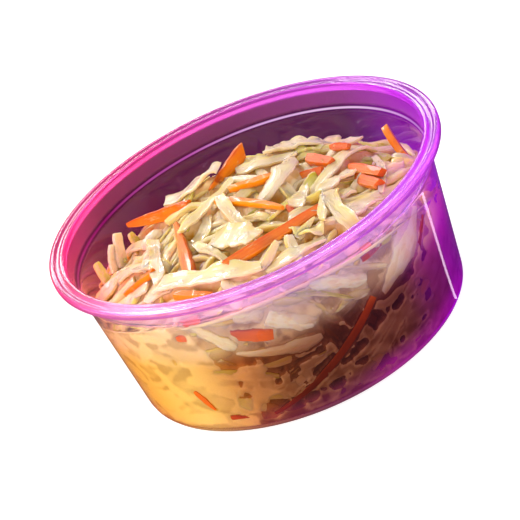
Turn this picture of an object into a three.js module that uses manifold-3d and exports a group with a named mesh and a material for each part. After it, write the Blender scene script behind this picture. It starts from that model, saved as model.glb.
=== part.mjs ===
// Coleslaw in a round, clear plastic tub: a thin moulded pot with a rolled lid rim, filled
// with a heap of shredded cabbage and carrot that stands highest at the front and slopes
// down to the back, where the inside of the tub shows. Millimetres, +Z up, origin at the
// middle of the foot. The front of the heap faces -Y.
import * as THREE from 'three';
import { mergeVertices } from 'three/addons/utils/BufferGeometryUtils.js';
import Module from 'manifold-3d';

const wasm = await Module();
wasm.setup();

// Tub
const TUB_HEIGHT = 48;
const RIM_RADIUS = 58.5;
const RIM_DEPTH = 2.4;
const NECK_TOP_RADIUS = 54.7; // outside of the neck, under the rim
const NECK_FOOT_RADIUS = 54.1;
const STEP_HEIGHT = 39.2; // where the wall steps out to the neck
const STEP_RISE = 1.4;
const WALL_TOP_RADIUS = 53.3;
const FOOT_CORNER = 1.4;
const FOOT_RING_OUTER = 48;
const FOOT_RING_INNER = 45.3;
const FOOT_RECESS = 0.7; // how far the floor stands above the foot ring
const WALL = 0.9;
const TUB_SEGMENTS = 48;

// Slaw
const GAP = 0.3; // between the slaw and the tub
const HEAP_CREST = 47;
const HEAP_RADIUS = 52.5;
const HEAP_POWER = 2.2; // how square the heap's shoulders are
const CONTACT_FRONT = 42.5; // height at which the slaw meets the wall
const CONTACT_SIDE = 31;
const CONTACT_BACK = 26;
const CORE_SINK = 1.1; // the core's top below the heap's mean surface
const CORE_RECESS = 1.3; // the core's side behind the strips at the wall
const SHRED_STEPS = 4;
const SMALLEST_EDGE = 0.3; // finer steps in the fused heap are merged

const TOP_SHREDS = 54;
const WALL_SHREDS = 20;

// ---------------------------------------------------------------- helpers

const radians = THREE.MathUtils.degToRad;

/** A repeatable random number between low and high. */
let seed = 20;
function random(low, high) {
  seed = (seed * 1664525 + 1013904223) % 4294967296;
  return low + (high - low) * (seed / 4294967296);
}

/** Points of a round corner in a profile, from one angle to another in degrees. */
function corner(centreR, centreZ, radius, from, to, steps) {
  const points = [];
  for (let i = 0; i <= steps; i++) {
    const a = radians(from + ((to - from) * i) / steps);
    points.push(new THREE.Vector2(centreR + radius * Math.cos(a), centreZ + radius * Math.sin(a)));
  }
  return points;
}

/** A profile of (radius, height) turned about the Z axis. */
function turned(profile, segments) {
  return new THREE.LatheGeometry(profile, segments).rotateX(Math.PI / 2);
}

function solidOf(geometry) {
  const bare = geometry.clone();
  bare.deleteAttribute('normal');
  bare.deleteAttribute('uv');
  const merged = mergeVertices(bare, 1e-4);
  const corners = [];
  for (let i = 0; i < merged.index.count; i += 3) {
    const [a, b, c] = [0, 1, 2].map((k) => merged.index.getX(i + k));
    if (a !== b && b !== c && c !== a) corners.push(a, b, c);
  }
  return new wasm.Manifold(new wasm.Mesh({
    numProp: 3,
    vertProperties: new Float32Array(merged.attributes.position.array),
    triVerts: new Uint32Array(corners),
  }));
}

function geometryOf(solid) {
  const mesh = solid.getMesh();
  const geometry = new THREE.BufferGeometry();
  geometry.setAttribute('position', new THREE.BufferAttribute(mesh.vertProperties, 3));
  geometry.setIndex(new THREE.BufferAttribute(mesh.triVerts, 1));
  geometry.computeVertexNormals();
  return geometry;
}

// ---------------------------------------------------------------- tub

const FLOOR = FOOT_RECESS + WALL;
const INNER_TOP_RADIUS = WALL_TOP_RADIUS - WALL;
const INNER_STEP = STEP_HEIGHT + 0.3;
const INNER_FOOT_RADIUS = FOOT_RING_OUTER + FOOT_CORNER - WALL;

/** The tub's section: out along the foot, up the outside, over the rim and down the inside. */
function tubProfile() {
  const rimTop = TUB_HEIGHT;
  const rimFoot = TUB_HEIGHT - RIM_DEPTH;
  const rimEdge = 0.6; // radius of the rim's outer edges
  const lipRadius = NECK_TOP_RADIUS - 0.4; // middle of the inner bead
  const bead = 0.5;
  const groove = 0.3;
  return [
    new THREE.Vector2(0, FOOT_RECESS),
    new THREE.Vector2(FOOT_RING_INNER - FOOT_RECESS, FOOT_RECESS),
    new THREE.Vector2(FOOT_RING_INNER, 0),
    ...corner(FOOT_RING_OUTER, FOOT_CORNER, FOOT_CORNER, -90, -6, 3),
    new THREE.Vector2(WALL_TOP_RADIUS, STEP_HEIGHT),
    new THREE.Vector2(NECK_FOOT_RADIUS, STEP_HEIGHT + STEP_RISE),
    new THREE.Vector2(NECK_TOP_RADIUS, rimFoot),
    ...corner(RIM_RADIUS - rimEdge, rimFoot + rimEdge, rimEdge, -90, 0, 2),
    ...corner(RIM_RADIUS - rimEdge, rimTop - rimEdge, rimEdge, 0, 90, 2),
    new THREE.Vector2(RIM_RADIUS - 3 * rimEdge, rimTop - groove),
    new THREE.Vector2(lipRadius + 2 * bead, rimTop - groove),
    ...corner(lipRadius, rimTop - bead, bead, 60, 180, 2),
    new THREE.Vector2(NECK_FOOT_RADIUS - WALL, STEP_HEIGHT + STEP_RISE + 0.3),
    new THREE.Vector2(INNER_TOP_RADIUS, INNER_STEP),
    ...corner(INNER_FOOT_RADIUS - 1, FLOOR + 1, 1, -6, -90, 2),
    new THREE.Vector2(0, FLOOR),
  ];
}

/** Inner radius of the tub's wall at a height. */
function innerRadius(z) {
  const t = THREE.MathUtils.clamp((z - FLOOR) / (INNER_STEP - FLOOR), 0, 1);
  return INNER_FOOT_RADIUS + (INNER_TOP_RADIUS - INNER_FOOT_RADIUS) * t;
}

// ---------------------------------------------------------------- heap

/** Mean height of the heap's top surface. */
function heapTop(x, y) {
  const r = Math.hypot(x, y);
  const s = r > 0 ? y / r : 0;
  const tilt = ((CONTACT_BACK - CONTACT_FRONT) / 2) * s;
  const bow = ((CONTACT_BACK + CONTACT_FRONT) / 2 - CONTACT_SIDE) * s * s;
  const contact = CONTACT_SIDE + tilt + bow;
  const fall = Math.min(1, r / HEAP_RADIUS) ** HEAP_POWER;
  return contact + (HEAP_CREST - contact) * (1 - fall);
}

/** The plain body of the heap: a turned form whose heights are scaled up to the heap's top. */
function heapCore() {
  const side = INNER_TOP_RADIUS - GAP - CORE_RECESS;
  const foot = innerRadius(FLOOR) - GAP - CORE_RECESS;
  const profile = [
    new THREE.Vector2(0, 0),
    new THREE.Vector2(foot - 1, 0),
    new THREE.Vector2(foot, 0.04),
    new THREE.Vector2((foot + side) / 2 - 0.6, 0.5),
    new THREE.Vector2(side - 1.2, 0.93),
    new THREE.Vector2(side - 3, 1),
  ];
  for (let r = side - 9; r > 2; r -= 8) profile.push(new THREE.Vector2(r, 1));
  profile.push(new THREE.Vector2(0, 1));
  const core = turned(profile, TUB_SEGMENTS / 2);
  const base = FLOOR + GAP;
  const p = core.attributes.position;
  for (let i = 0; i < p.count; i++) {
    const top = heapTop(p.getX(i), p.getY(i)) - CORE_SINK;
    p.setZ(i, base + p.getZ(i) * (top - base));
  }
  return core;
}

/** The room that the slaw may fill: the tub's cavity less the gap, open upwards. */
function room() {
  const clear = HEAP_CREST + 10;
  return turned([
    new THREE.Vector2(0, FLOOR + GAP),
    new THREE.Vector2(INNER_FOOT_RADIUS - GAP - 1, FLOOR + GAP),
    new THREE.Vector2(INNER_FOOT_RADIUS - GAP, FLOOR + 1),
    new THREE.Vector2(INNER_TOP_RADIUS - GAP, INNER_STEP),
    new THREE.Vector2(INNER_TOP_RADIUS - GAP, clear),
    new THREE.Vector2(0, clear),
  ], TUB_SEGMENTS);
}

/**
 * One shred: a strip of rectangular section along a bowed line between two points.
 * up is the direction its flat side faces, bow lifts its middle, sway bends it sideways
 * and taper narrows its ends.
 */
function shred({ from, to, width, thick, up, bow = 0, sway = 0, taper = 0.3, steps = SHRED_STEPS }) {
  const box = new THREE.BoxGeometry(1, 1, 1, steps, 1, 1);
  const along = new THREE.Vector3().subVectors(to, from);
  const middle = new THREE.Vector3().addVectors(from, to).multiplyScalar(0.5);
  const aside = new THREE.Vector3().crossVectors(up, along).normalize();
  const face = new THREE.Vector3().crossVectors(along, aside).normalize();
  const p = box.attributes.position;
  const v = new THREE.Vector3();
  for (let i = 0; i < p.count; i++) {
    const t = p.getX(i);
    const hump = 1 - 4 * t * t;
    const narrow = 1 - taper * (1 - hump);
    v.copy(middle)
      .addScaledVector(along, t)
      .addScaledVector(aside, p.getY(i) * width * narrow + sway * hump)
      .addScaledVector(face, p.getZ(i) * thick * (1 - taper * 0.6 * (1 - hump)) + bow * hump);
    p.setXYZ(i, v.x, v.y, v.z);
  }
  return box;
}

/** A broad piece of leaf: a thin sheet with a wave along it and a cupped section. */
function leaf({ from, to, width, thick, up, bow = 0, wave = 0.8 }) {
  const box = new THREE.BoxGeometry(1, 1, 1, 6, 2, 1);
  const along = new THREE.Vector3().subVectors(to, from);
  const middle = new THREE.Vector3().addVectors(from, to).multiplyScalar(0.5);
  const aside = new THREE.Vector3().crossVectors(up, along).normalize();
  const face = new THREE.Vector3().crossVectors(along, aside).normalize();
  const p = box.attributes.position;
  const v = new THREE.Vector3();
  for (let i = 0; i < p.count; i++) {
    const t = p.getX(i);
    const u = p.getY(i);
    const narrow = 1 - 1.4 * t * t;
    const lift = bow * (1 - 4 * t * t) + wave * Math.sin(9 * t + 3 * u) - 3 * wave * u * u;
    v.copy(middle)
      .addScaledVector(along, t)
      .addScaledVector(aside, u * width * narrow)
      .addScaledVector(face, p.getZ(i) * thick + lift);
    p.setXYZ(i, v.x, v.y, v.z);
  }
  return box;
}

const at = (x, y, z) => new THREE.Vector3(x, y, z);
const UP = at(0, 0, 1);

/** A point of the wall's inner face, by compass angle in degrees and height, depth inwards. */
function onWall(angle, z, depth = 0) {
  const r = innerRadius(z) - GAP - depth;
  return at(r * Math.cos(radians(angle)), r * Math.sin(radians(angle)), z);
}

// The pieces that stand out on top, each from end to end.
const CARROTS = [
  { from: at(-13.5, -35, 46.2), to: at(18.5, -25.5, 47.4), width: 4.2, thick: 3.2, bow: 0.8 },
  { from: at(-22.7, -29, 45.0), to: at(-20.3, -2, 48.4), width: 3.2, thick: 2.8 },
  { from: at(-7, -1, 48.0), to: at(9, -22.5, 47.8), width: 3, thick: 2.4, bow: 0.8 },
  { from: at(-3, 1, 48.2), to: at(14, -4, 48.0), width: 3.6, thick: 2.4 },
  { from: at(-34, 20, 42.4), to: at(-15, 4, 47.4), width: 3.4, thick: 3 },
  { from: at(-9, 6, 47.2), to: at(5.2, 22.6, 48.8), width: 4.2, thick: 2.6 },
  { from: at(-15, -8, 47.2), to: at(-6, 1, 47.2), width: 3.4, thick: 2.6 },
  { from: at(46.6, 2, 29.6), to: at(44.4, 8.5, 40.2), width: 4, thick: 2.8, up: at(-1, 0, 0) },
  { from: at(28, -9, 45.0), to: at(36, -24, 42.8), width: 4.8, thick: 3.4 },
  { from: at(37, -10, 42.4), to: at(31, -25, 43.6), width: 3.6, thick: 3 },
  { from: at(14, 4, 47.4), to: at(22.5, -11, 46.6), width: 3.2, thick: 2.6 },
  { from: at(-44.2, 6, 33.2), to: at(-48.2, 10, 38.8), width: 5, thick: 2.6, up: at(1, 0, 0) },
  { from: at(-40.2, 14, 35.2), to: at(-39.2, 20, 42.4), width: 2.6, thick: 2.2, up: at(1, -1, 0) },
];

const TOP_LEAVES = [
  { from: at(-21, 21, 47.2), to: at(-3, 14, 48.0), width: 7, thick: 1.4, bow: 1 },
  { from: at(12, 17, 46.2), to: at(23, 21, 46.4), width: 6.5, thick: 1.4, bow: 1 },
  { from: at(23, 14.5, 44.4), to: at(37, 20, 39.6), width: 4, thick: 1.4, bow: 1 },
  { from: at(5, -13, 48.0), to: at(18.5, 4, 48.2), width: 6, thick: 1.5, bow: 2 },
  { from: at(16, -17, 47.4), to: at(39, 8, 42.4), width: 3.8, thick: 1.6, bow: 1 },
  { from: at(20, -21, 47.4), to: at(21.5, -43, 44.2), width: 3.8, thick: 1.5, bow: 1 },
  { from: at(-30.5, -24, 45.0), to: at(-28.5, 3, 45.6), width: 3.6, thick: 1.5, bow: 1 },
  { from: at(-31, -27, 44.6), to: at(-3, -46, 44.6), width: 4, thick: 1.6, bow: 1.4 },
  { from: at(-13, -17, 48.4), to: at(-2, -31, 47.8), width: 8, thick: 1.4, bow: 0.6 },
  { from: at(-20, -8, 47.6), to: at(-1, 9, 48.8), width: 3, thick: 1.5, bow: 0.6 },
];

// The pieces that press against the wall, by compass angle, height and width.
const WALL_PIECES = [
  { from: onWall(-110, 32), to: onWall(-97, 28), width: 4.6, thick: 2.8 },
  { from: onWall(-67, 27.5), to: onWall(-107, 4.5), width: 3.2, thick: 2.8, bow: 4.2 },
  { from: onWall(-100, 33.5), to: onWall(-85, 26), width: 8, thick: 2.6 },
  { from: onWall(-84, 39), to: onWall(-67, 30), width: 4.4, thick: 2.6 },
  { from: onWall(-76, 38), to: onWall(-60, 31), width: 3.2, thick: 2.4 },
  { from: onWall(-40, 35), to: onWall(-61, 17), width: 8.5, thick: 2.6, bow: 1.6 },
  { from: onWall(-118, 40.4), to: onWall(-101, 42), width: 3.4, thick: 2.6 },
  { from: onWall(-128, 5), to: onWall(-117, 3), width: 4.6, thick: 2.6 },
  { from: onWall(-133, 15), to: onWall(-129, 9), width: 3, thick: 2.4 },
  { from: onWall(-112, 25), to: onWall(-86, 22.5), width: 5, thick: 2.6, bow: 1.6 },
  { from: onWall(-122, 37), to: onWall(-112, 29), width: 4, thick: 2.6 },
];

/** Direction that the heap's mean surface faces. */
function heapFacing(x, y) {
  const d = 0.5;
  return at(heapTop(x - d, y) - heapTop(x + d, y), heapTop(x, y - d) - heapTop(x, y + d), 2 * d).normalize();
}

/** Shreds all over the top, spread like the seeds of a sunflower: round the edge they hug the wall. */
function scatteredShreds() {
  const golden = radians(137.508);
  const shreds = [];
  for (let i = 0; i < TOP_SHREDS; i++) {
    const r = (HEAP_RADIUS - 3.5) * Math.sqrt((i + 0.5) / TOP_SHREDS);
    const x = r * Math.cos(golden * i);
    const y = r * Math.sin(golden * i);
    const half = random(7, 11.5);
    const atEdge = r > HEAP_RADIUS - 12;
    const heading = golden * i + Math.PI / 2 + (atEdge ? random(-0.5, 0.5) : random(-1.5, 1.5));
    const dx = half * Math.cos(heading);
    const dy = half * Math.sin(heading);
    const from = at(x - dx, y - dy, heapTop(x - dx, y - dy) + random(-1.2, 0.6));
    const to = at(x + dx, y + dy, heapTop(x + dx, y + dy) + random(-0.6, 1.2));
    const up = heapFacing(x, y);
    const bow = (heapTop(x, y) - (from.z + to.z) / 2) * up.z + random(-0.2, 0.9);
    up.x += random(-0.4, 0.4);
    up.y += random(-0.4, 0.4);
    shreds.push(shred({ from, to, width: random(3.2, 5), thick: random(1.8, 2.4), up, bow, sway: random(-2, 2) }));
  }
  return shreds;
}

/** Shreds all round against the wall, in rows that lean either way. */
function wallShreds() {
  const shreds = [];
  for (let i = 0; i < WALL_SHREDS; i++) {
    const angle = (i * 137.508) % 360;
    const top = heapTop(HEAP_RADIUS * Math.cos(radians(angle)), HEAP_RADIUS * Math.sin(radians(angle)));
    const z = THREE.MathUtils.lerp(FLOOR + 4, top - 4, ((i * 7) % WALL_SHREDS) / WALL_SHREDS);
    const turn = random(6, 11);
    const rise = Math.min(random(-7, 7), top - z);
    const from = onWall(angle - turn, Math.max(FLOOR + 2, z - rise));
    const to = onWall(angle + turn, Math.max(FLOOR + 2, z + rise));
    shreds.push(wallPiece({ from, to, width: random(3.5, 6), thick: 2.4 }));
  }
  return shreds;
}

/** A shred that lies along the curved wall, its outer face just past the room's edge. */
function wallPiece({ from, to, width, thick, bow = 0 }) {
  const middle = at((from.x + to.x) / 2, (from.y + to.y) / 2, 0);
  const reach = innerRadius((from.z + to.z) / 2) - GAP - middle.length();
  const up = middle.normalize();
  const inset = thick / 2 - 0.6;
  const drop = up.clone().multiplyScalar(-inset);
  return shred({ from: from.clone().add(drop), to: to.clone().add(drop), width, thick, up, bow: reach, sway: bow });
}

function coleslaw() {
  const pieces = [
    heapCore(),
    ...CARROTS.map((piece) => shred({ up: UP, taper: 0.25, ...piece })),
    ...TOP_LEAVES.map((piece) => leaf({ up: UP, ...piece })),
    ...WALL_PIECES.map(wallPiece),
    ...scatteredShreds(),
    ...wallShreds(),
  ];
  const heap = wasm.Manifold.union(pieces.map(solidOf)).intersect(solidOf(room())).simplify(SMALLEST_EDGE);
  const bodies = heap.decompose().sort((a, b) => b.volume() - a.volume());
  return geometryOf(bodies[0]);
}

// ---------------------------------------------------------------- object

const tub = new THREE.Mesh(
  turned(tubProfile(), TUB_SEGMENTS),
  new THREE.MeshStandardMaterial({ color: 0xc56ae0, roughness: 0.12, metalness: 0, transparent: true, opacity: 0.4 }),
);
tub.name = 'tub';

const slaw = new THREE.Mesh(
  coleslaw(),
  new THREE.MeshStandardMaterial({ color: 0xe8dcae, roughness: 0.4, metalness: 0 }),
);
slaw.name = 'coleslaw';

const part = new THREE.Group();
part.add(tub, slaw);

export default part;
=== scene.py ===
"""Coleslaw in a clear, tinted deli tub: the looks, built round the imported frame.

The file follows the tub as it is filled: the pot, the shreds that press against its wall,
the heap that stands above them, and the dressing that runs between. The lamps and the
camera come last. Lengths are in millimetres until a mesh is made, because every piece here
is a few millimetres thick.
"""
from math import cos, radians, sin

import bpy
import numpy as np
from mathutils import Matrix, Vector


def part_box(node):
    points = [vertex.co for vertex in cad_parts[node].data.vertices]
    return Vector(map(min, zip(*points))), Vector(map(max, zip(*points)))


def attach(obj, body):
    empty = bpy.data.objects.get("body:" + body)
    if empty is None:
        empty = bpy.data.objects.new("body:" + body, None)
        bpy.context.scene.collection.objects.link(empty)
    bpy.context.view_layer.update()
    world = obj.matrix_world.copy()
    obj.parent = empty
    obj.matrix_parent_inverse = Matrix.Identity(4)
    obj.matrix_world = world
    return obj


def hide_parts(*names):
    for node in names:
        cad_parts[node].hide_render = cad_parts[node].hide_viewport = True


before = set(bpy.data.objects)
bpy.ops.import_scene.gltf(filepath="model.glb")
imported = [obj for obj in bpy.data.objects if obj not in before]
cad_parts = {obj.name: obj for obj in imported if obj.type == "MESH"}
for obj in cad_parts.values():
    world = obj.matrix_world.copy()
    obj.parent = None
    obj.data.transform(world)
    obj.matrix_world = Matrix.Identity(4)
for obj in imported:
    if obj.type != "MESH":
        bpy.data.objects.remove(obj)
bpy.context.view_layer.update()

# ---------------------------------------------------------------- tub
# A thin pot, injection moulded in clear tinted plastic: a foot ring, a drafted wall, a
# step out to the neck and a flat rim that a lid snaps over. It is one turned wall.
MM = 0.001
tub_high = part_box("tub")[1]
floor_height = 1.6
inside_of_tub = ((0.0, 48.5), (floor_height, 48.5), (39.5, 52.4), (41.0, 53.25), (46.8, 53.85))
# The plastic is a little milky at the rim, at the neck and at the foot.
rim_from = 45.0
neck_from = 41.2
foot_to = 1.5


def inner_radius(z):
    """Radius of the tub's inner face at height z."""
    heights, radii = zip(*inside_of_tub)
    return np.interp(z, heights, radii)


def rounded(corners, steps=5):
    """An outline through (radius, height, fillet) corners, each one rounded off."""
    outline = []
    for i, (r, z, fillet) in enumerate(corners):
        here = np.array((r, z))
        if fillet == 0 or i in (0, len(corners) - 1):
            outline.append(here)
            continue
        before = np.array(corners[i - 1][:2]) - here
        after = np.array(corners[i + 1][:2]) - here
        reach = min(fillet, 0.45 * np.linalg.norm(before), 0.45 * np.linalg.norm(after))
        start = here + before / np.linalg.norm(before) * reach
        end = here + after / np.linalg.norm(after) * reach
        for t in np.linspace(0, 1, steps):
            outline.append((1 - t) ** 2 * start + 2 * t * (1 - t) * here + t * t * end)
    return np.array(outline)


def turned(outline, around):
    """Vertices and faces of an outline turned about Z. Its two ends lie on the axis."""
    angles = np.arange(around) * 2 * np.pi / around
    rings = outline[1:-1]
    points = np.stack(
        [
            rings[:, 0, None] * np.cos(angles),
            rings[:, 0, None] * np.sin(angles),
            np.broadcast_to(rings[:, 1, None], (len(rings), around)),
        ],
        axis=-1,
    ).reshape(-1, 3)
    foot, top = len(points), len(points) + 1
    points = np.vstack([points, (0, 0, outline[0, 1]), (0, 0, outline[-1, 1])])
    return points, ring_faces(len(rings), around, foot, top)


def ring_faces(rings, around, foot, top):
    """Faces of stacked rings of points, closed by a point below and a point above."""
    here = np.arange(around)
    after = (here + 1) % around
    faces = []
    for i in range(rings - 1):
        row, up = i * around, (i + 1) * around
        faces += np.stack([row + here, row + after, up + after, up + here], -1).tolist()
    last = (rings - 1) * around
    faces += [(foot, b, a) for a, b in enumerate(after.tolist())]
    faces += [(top, last + a, last + b) for a, b in enumerate(after.tolist())]
    return faces


def add_piece(name, points, faces):
    """A smooth mesh object from points in millimetres."""
    mesh = bpy.data.meshes.new(name)
    mesh.from_pydata((np.asarray(points) * MM).tolist(), [], faces)
    mesh.shade_smooth()
    piece = bpy.data.objects.new(name, mesh)
    bpy.context.scene.collection.objects.link(piece)
    return piece


# Its corners are (radius, height, fillet), along the outside from the foot and back inside.
tub_outline = rounded(
    [
        (0, 0.7, 0),
        (44.6, 0.7, 0.3),
        (45.3, 0, 0.3),
        (49.25, 0, 2.2),
        (53.3, 39.2, 0.8),
        (54.1, 40.6, 0.8),
        (54.7, 45.6, 0.4),
        (58.5, 45.6, 0.8),
        (58.5, 48, 0.8),
        (56.9, 48, 0.4),
        (56.5, 47.6, 0.3),
        (55.4, 47.6, 0.3),
        (55.1, 48, 0.4),
        (53.85, 48, 0.9),
        (53.8, 45.8, 0.3),
        (53.2, 40.95, 0.7),
        (52.4, 39.5, 0.7),
        (48.5, floor_height, 1.5),
        (0, floor_height, 0),
    ]
)
tub = add_piece("tub_clear", *turned(tub_outline, around=288))


def new_material(name):
    """A material, its node tree and its shader."""
    material = bpy.data.materials.new(name)
    material.use_nodes = True
    tree = material.node_tree
    return material, tree, tree.nodes["Principled BSDF"]


def wire(tree, value, socket):
    """Links a socket to an input, or sets the input's value."""
    if isinstance(value, bpy.types.NodeSocket):
        tree.links.new(value, socket)
    elif value is not None:
        socket.default_value = value


def maths(tree, operation, *values, clamp=False):
    """A Math node over sockets or numbers."""
    node = tree.nodes.new("ShaderNodeMath")
    node.operation = operation
    node.use_clamp = clamp
    for socket, value in zip(node.inputs, values):
        wire(tree, value, socket)
    return node.outputs[0]


def between(tree, value, low, high, to_low=0.0, to_high=1.0):
    """A Map Range node: where value lies from low to high, smoothly."""
    node = tree.nodes.new("ShaderNodeMapRange")
    node.interpolation_type = "SMOOTHSTEP"
    limits = (("From Min", low), ("From Max", high), ("To Min", to_low), ("To Max", to_high))
    for name, number in limits:
        wire(tree, number, node.inputs[name])
    wire(tree, value, node.inputs["Value"])
    return node.outputs[0]


def mixed(tree, share, first, second, how="MIX"):
    """A colour Mix node over sockets, numbers or colours."""
    node = tree.nodes.new("ShaderNodeMix")
    node.data_type = "RGBA"
    node.blend_type = how
    inputs = {socket.identifier: socket for socket in node.inputs}
    wire(tree, share, inputs["Factor_Float"])
    wire(tree, first, inputs["A_Color"])
    wire(tree, second, inputs["B_Color"])
    return next(s for s in node.outputs if s.identifier == "Result_Color")


def speckle(tree, place, scale, detail=3, roughness=0.55, squeeze=None):
    """A Noise node's value, with the place squeezed first where that is given."""
    if squeeze:
        mapping = tree.nodes.new("ShaderNodeMapping")
        mapping.inputs["Scale"].default_value = squeeze
        tree.links.new(place, mapping.inputs["Vector"])
        place = mapping.outputs[0]
    node = tree.nodes.new("ShaderNodeTexNoise")
    node.inputs["Scale"].default_value = scale
    node.inputs["Detail"].default_value = detail
    node.inputs["Roughness"].default_value = roughness
    tree.links.new(place, node.inputs["Vector"])
    return node.outputs["Fac"]


def by_compass(tree, compass, stops):
    """A Color Ramp round the tub. Its stops are (degrees from +X, red, green, blue)."""
    node = tree.nodes.new("ShaderNodeValToRGB")
    elements = node.color_ramp.elements
    while len(elements) < len(stops):
        elements.new(0.5)
    for element, (degrees, *colour) in zip(elements, stops):
        element.position = (degrees + 180) / 360
        element.color = (*colour, 1)
    tree.links.new(compass, node.inputs["Fac"])
    return node.outputs["Color"]


def new_group(name, inputs, outputs):
    """An empty node group with named sockets: (name, kind) pairs."""
    group = bpy.data.node_groups.new(name, "ShaderNodeTree")
    for direction, sockets in (("INPUT", inputs), ("OUTPUT", outputs)):
        for label, kind in sockets:
            group.interface.new_socket(label, in_out=direction, socket_type="NodeSocket" + kind)
    return group, group.nodes.new("NodeGroupInput").outputs, group.nodes.new("NodeGroupOutput").inputs


def placed(tree, group):
    """A node group placed in a material."""
    node = tree.nodes.new("ShaderNodeGroup")
    node.node_tree = group
    return node


def tint_and_painted_light_group():
    """The plastic's tint, partly its own colour and partly painted light and shade: amber and pink at the
    left, violet at the right, plum at the back.

    Each ramp of colours runs round the tub. Heights are in metres, as the shader reads them.
    """
    group, given, made = new_group(
        "tub_tint_and_painted_light",
        (("Place", "Vector"),),
        (("Wall Tint", "Color"), ("Rim Tint", "Color"), ("Wall Glow", "Color"), ("Rim Glow", "Color")),
    )
    apart = group.nodes.new("ShaderNodeSeparateXYZ")
    group.links.new(given["Place"], apart.inputs[0])
    x, y, height = apart.outputs
    angle = maths(group, "ARCTAN2", y, x)
    compass = maths(group, "MULTIPLY_ADD", angle, 0.5 / np.pi, 0.5)

    # The tint low down, at mid-height, at the neck and at the rim. Round the tub it is also painted light:
    # amber at the left, violet at the right, and painted shade, darker and browner, at the front low down.
    low = by_compass(group, compass, (
        (-180, 1.0, 0.50, 0.35),
        (-155, 1.0, 0.68, 0.18),
        (-134, 1.0, 0.88, 0.38),
        (-115, 0.67, 0.37, 0.18),
        (-95, 0.42, 0.22, 0.16),
        (-56, 0.32, 0.13, 0.15),
        (-44, 0.46, 0.06, 0.60),
        (-25, 0.42, 0.0, 0.74),
        (5, 0.55, 0.06, 0.85),
        (35, 0.42, 0.10, 0.50),
        (90, 0.46, 0.13, 0.42),
        (145, 0.56, 0.12, 0.34),
        (165, 0.9, 0.22, 0.42),
        (180, 1.0, 0.50, 0.35),
    ))
    middle = by_compass(group, compass, (
        (-180, 1.0, 0.45, 0.50),
        (-140, 1.0, 0.92, 0.68),
        (-100, 0.94, 0.86, 0.84),
        (-56, 0.95, 0.86, 0.88),
        (-42, 0.86, 0.50, 0.86),
        (-25, 0.62, 0.06, 0.92),
        (5, 0.55, 0.08, 0.80),
        (40, 0.44, 0.17, 0.50),
        (90, 0.46, 0.19, 0.44),
        (135, 0.54, 0.15, 0.35),
        (160, 1.0, 0.22, 0.50),
        (180, 1.0, 0.45, 0.50),
    ))
    neck = by_compass(group, compass, (
        (-180, 1.0, 0.20, 0.40),
        (-140, 1.0, 0.68, 0.80),
        (-100, 0.96, 0.68, 0.96),
        (-60, 0.94, 0.62, 1.0),
        (-25, 0.80, 0.10, 0.92),
        (5, 0.50, 0.07, 0.70),
        (40, 0.50, 0.12, 0.56),
        (90, 0.46, 0.14, 0.40),
        (135, 0.48, 0.08, 0.25),
        (160, 0.90, 0.10, 0.38),
        (180, 1.0, 0.20, 0.40),
    ))
    rim = by_compass(group, compass, (
        (-180, 1.0, 0.10, 0.36),
        (-162, 0.95, 0.20, 0.62),
        (-145, 0.94, 0.34, 0.82),
        (-120, 0.98, 0.42, 0.92),
        (-80, 0.86, 0.38, 1.0),
        (-40, 0.76, 0.20, 1.0),
        (0, 0.60, 0.05, 0.86),
        (60, 0.80, 0.18, 0.92),
        (85, 0.92, 0.20, 0.82),
        (115, 1.0, 0.13, 0.52),
        (150, 1.0, 0.14, 0.54),
        (180, 1.0, 0.10, 0.40),
    ))

    # Painted glow: emission that stands in for coloured light on the body, the rim, the step, the neck and
    # the foot.
    body_glow = by_compass(group, compass, (
        (-180, 0.08, 0.02, 0.01),
        (-150, 0.09, 0.035, 0.0),
        (-120, 0.01, 0.004, 0.0),
        (-60, 0.004, 0.0, 0.004),
        (-34.4, 0.03, 0.0, 0.05),
        (-33.2, 0.10, 0.0, 0.17),
        (20, 0.09, 0.0, 0.17),
        (45, 0.02, 0.0, 0.02),
        (140, 0.03, 0.0, 0.01),
        (180, 0.08, 0.02, 0.01),
    ))
    rim_glow = by_compass(group, compass, (
        (-180, 0.14, 0.005, 0.03),
        (-130, 0.08, 0.02, 0.05),
        (-90, 0.06, 0.012, 0.08),
        (-30, 0.08, 0.0, 0.10),
        (30, 0.08, 0.0, 0.10),
        (70, 0.05, 0.0, 0.06),
        (90, 0.07, 0.0, 0.06),
        (120, 0.12, 0.0, 0.04),
        (180, 0.14, 0.005, 0.03),
    ))
    painted_step_highlight = by_compass(group, compass, (
        (-180, 0.30, 0.03, 0.10),
        (-140, 0.26, 0.09, 0.14),
        (-60, 0.22, 0.07, 0.26),
        (10, 0.40, 0.20, 0.46),
        (40, 0.72, 0.50, 0.72),
        (75, 0.62, 0.36, 0.66),
        (100, 0.42, 0.08, 0.36),
        (140, 0.20, 0.0, 0.10),
        (180, 0.30, 0.03, 0.10),
    ))
    neck_glow = by_compass(group, compass, (
        (-180, 0.05, 0.01, 0.02),
        (-140, 0.03, 0.02, 0.05),
        (-90, 0.02, 0.02, 0.08),
        (-45, 0.04, 0.02, 0.10),
        (-20, 0.10, 0.0, 0.13),
        (20, 0.09, 0.0, 0.13),
        (45, 0.02, 0.0, 0.02),
        (140, 0.03, 0.0, 0.01),
        (180, 0.05, 0.01, 0.02),
    ))
    glow = mixed(group, between(group, height, 0.030, 0.041), body_glow, neck_glow)
    foot_glow = by_compass(group, compass, (
        (-180, 0.14, 0.005, 0.03),
        (-140, 0.09, 0.015, 0.01),
        (-100, 0.05, 0.004, 0.03),
        (-82, 0.06, 0.004, 0.05),
        (-68, 0.16, 0.004, 0.15),
        (-45, 0.14, 0.0, 0.16),
        (-30, 0.20, 0.0, 0.30),
        (30, 0.08, 0.0, 0.10),
        (180, 0.14, 0.005, 0.03),
    ))
    glow = mixed(group, between(group, height, 0.009, 0.0015), glow, foot_glow)
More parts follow.
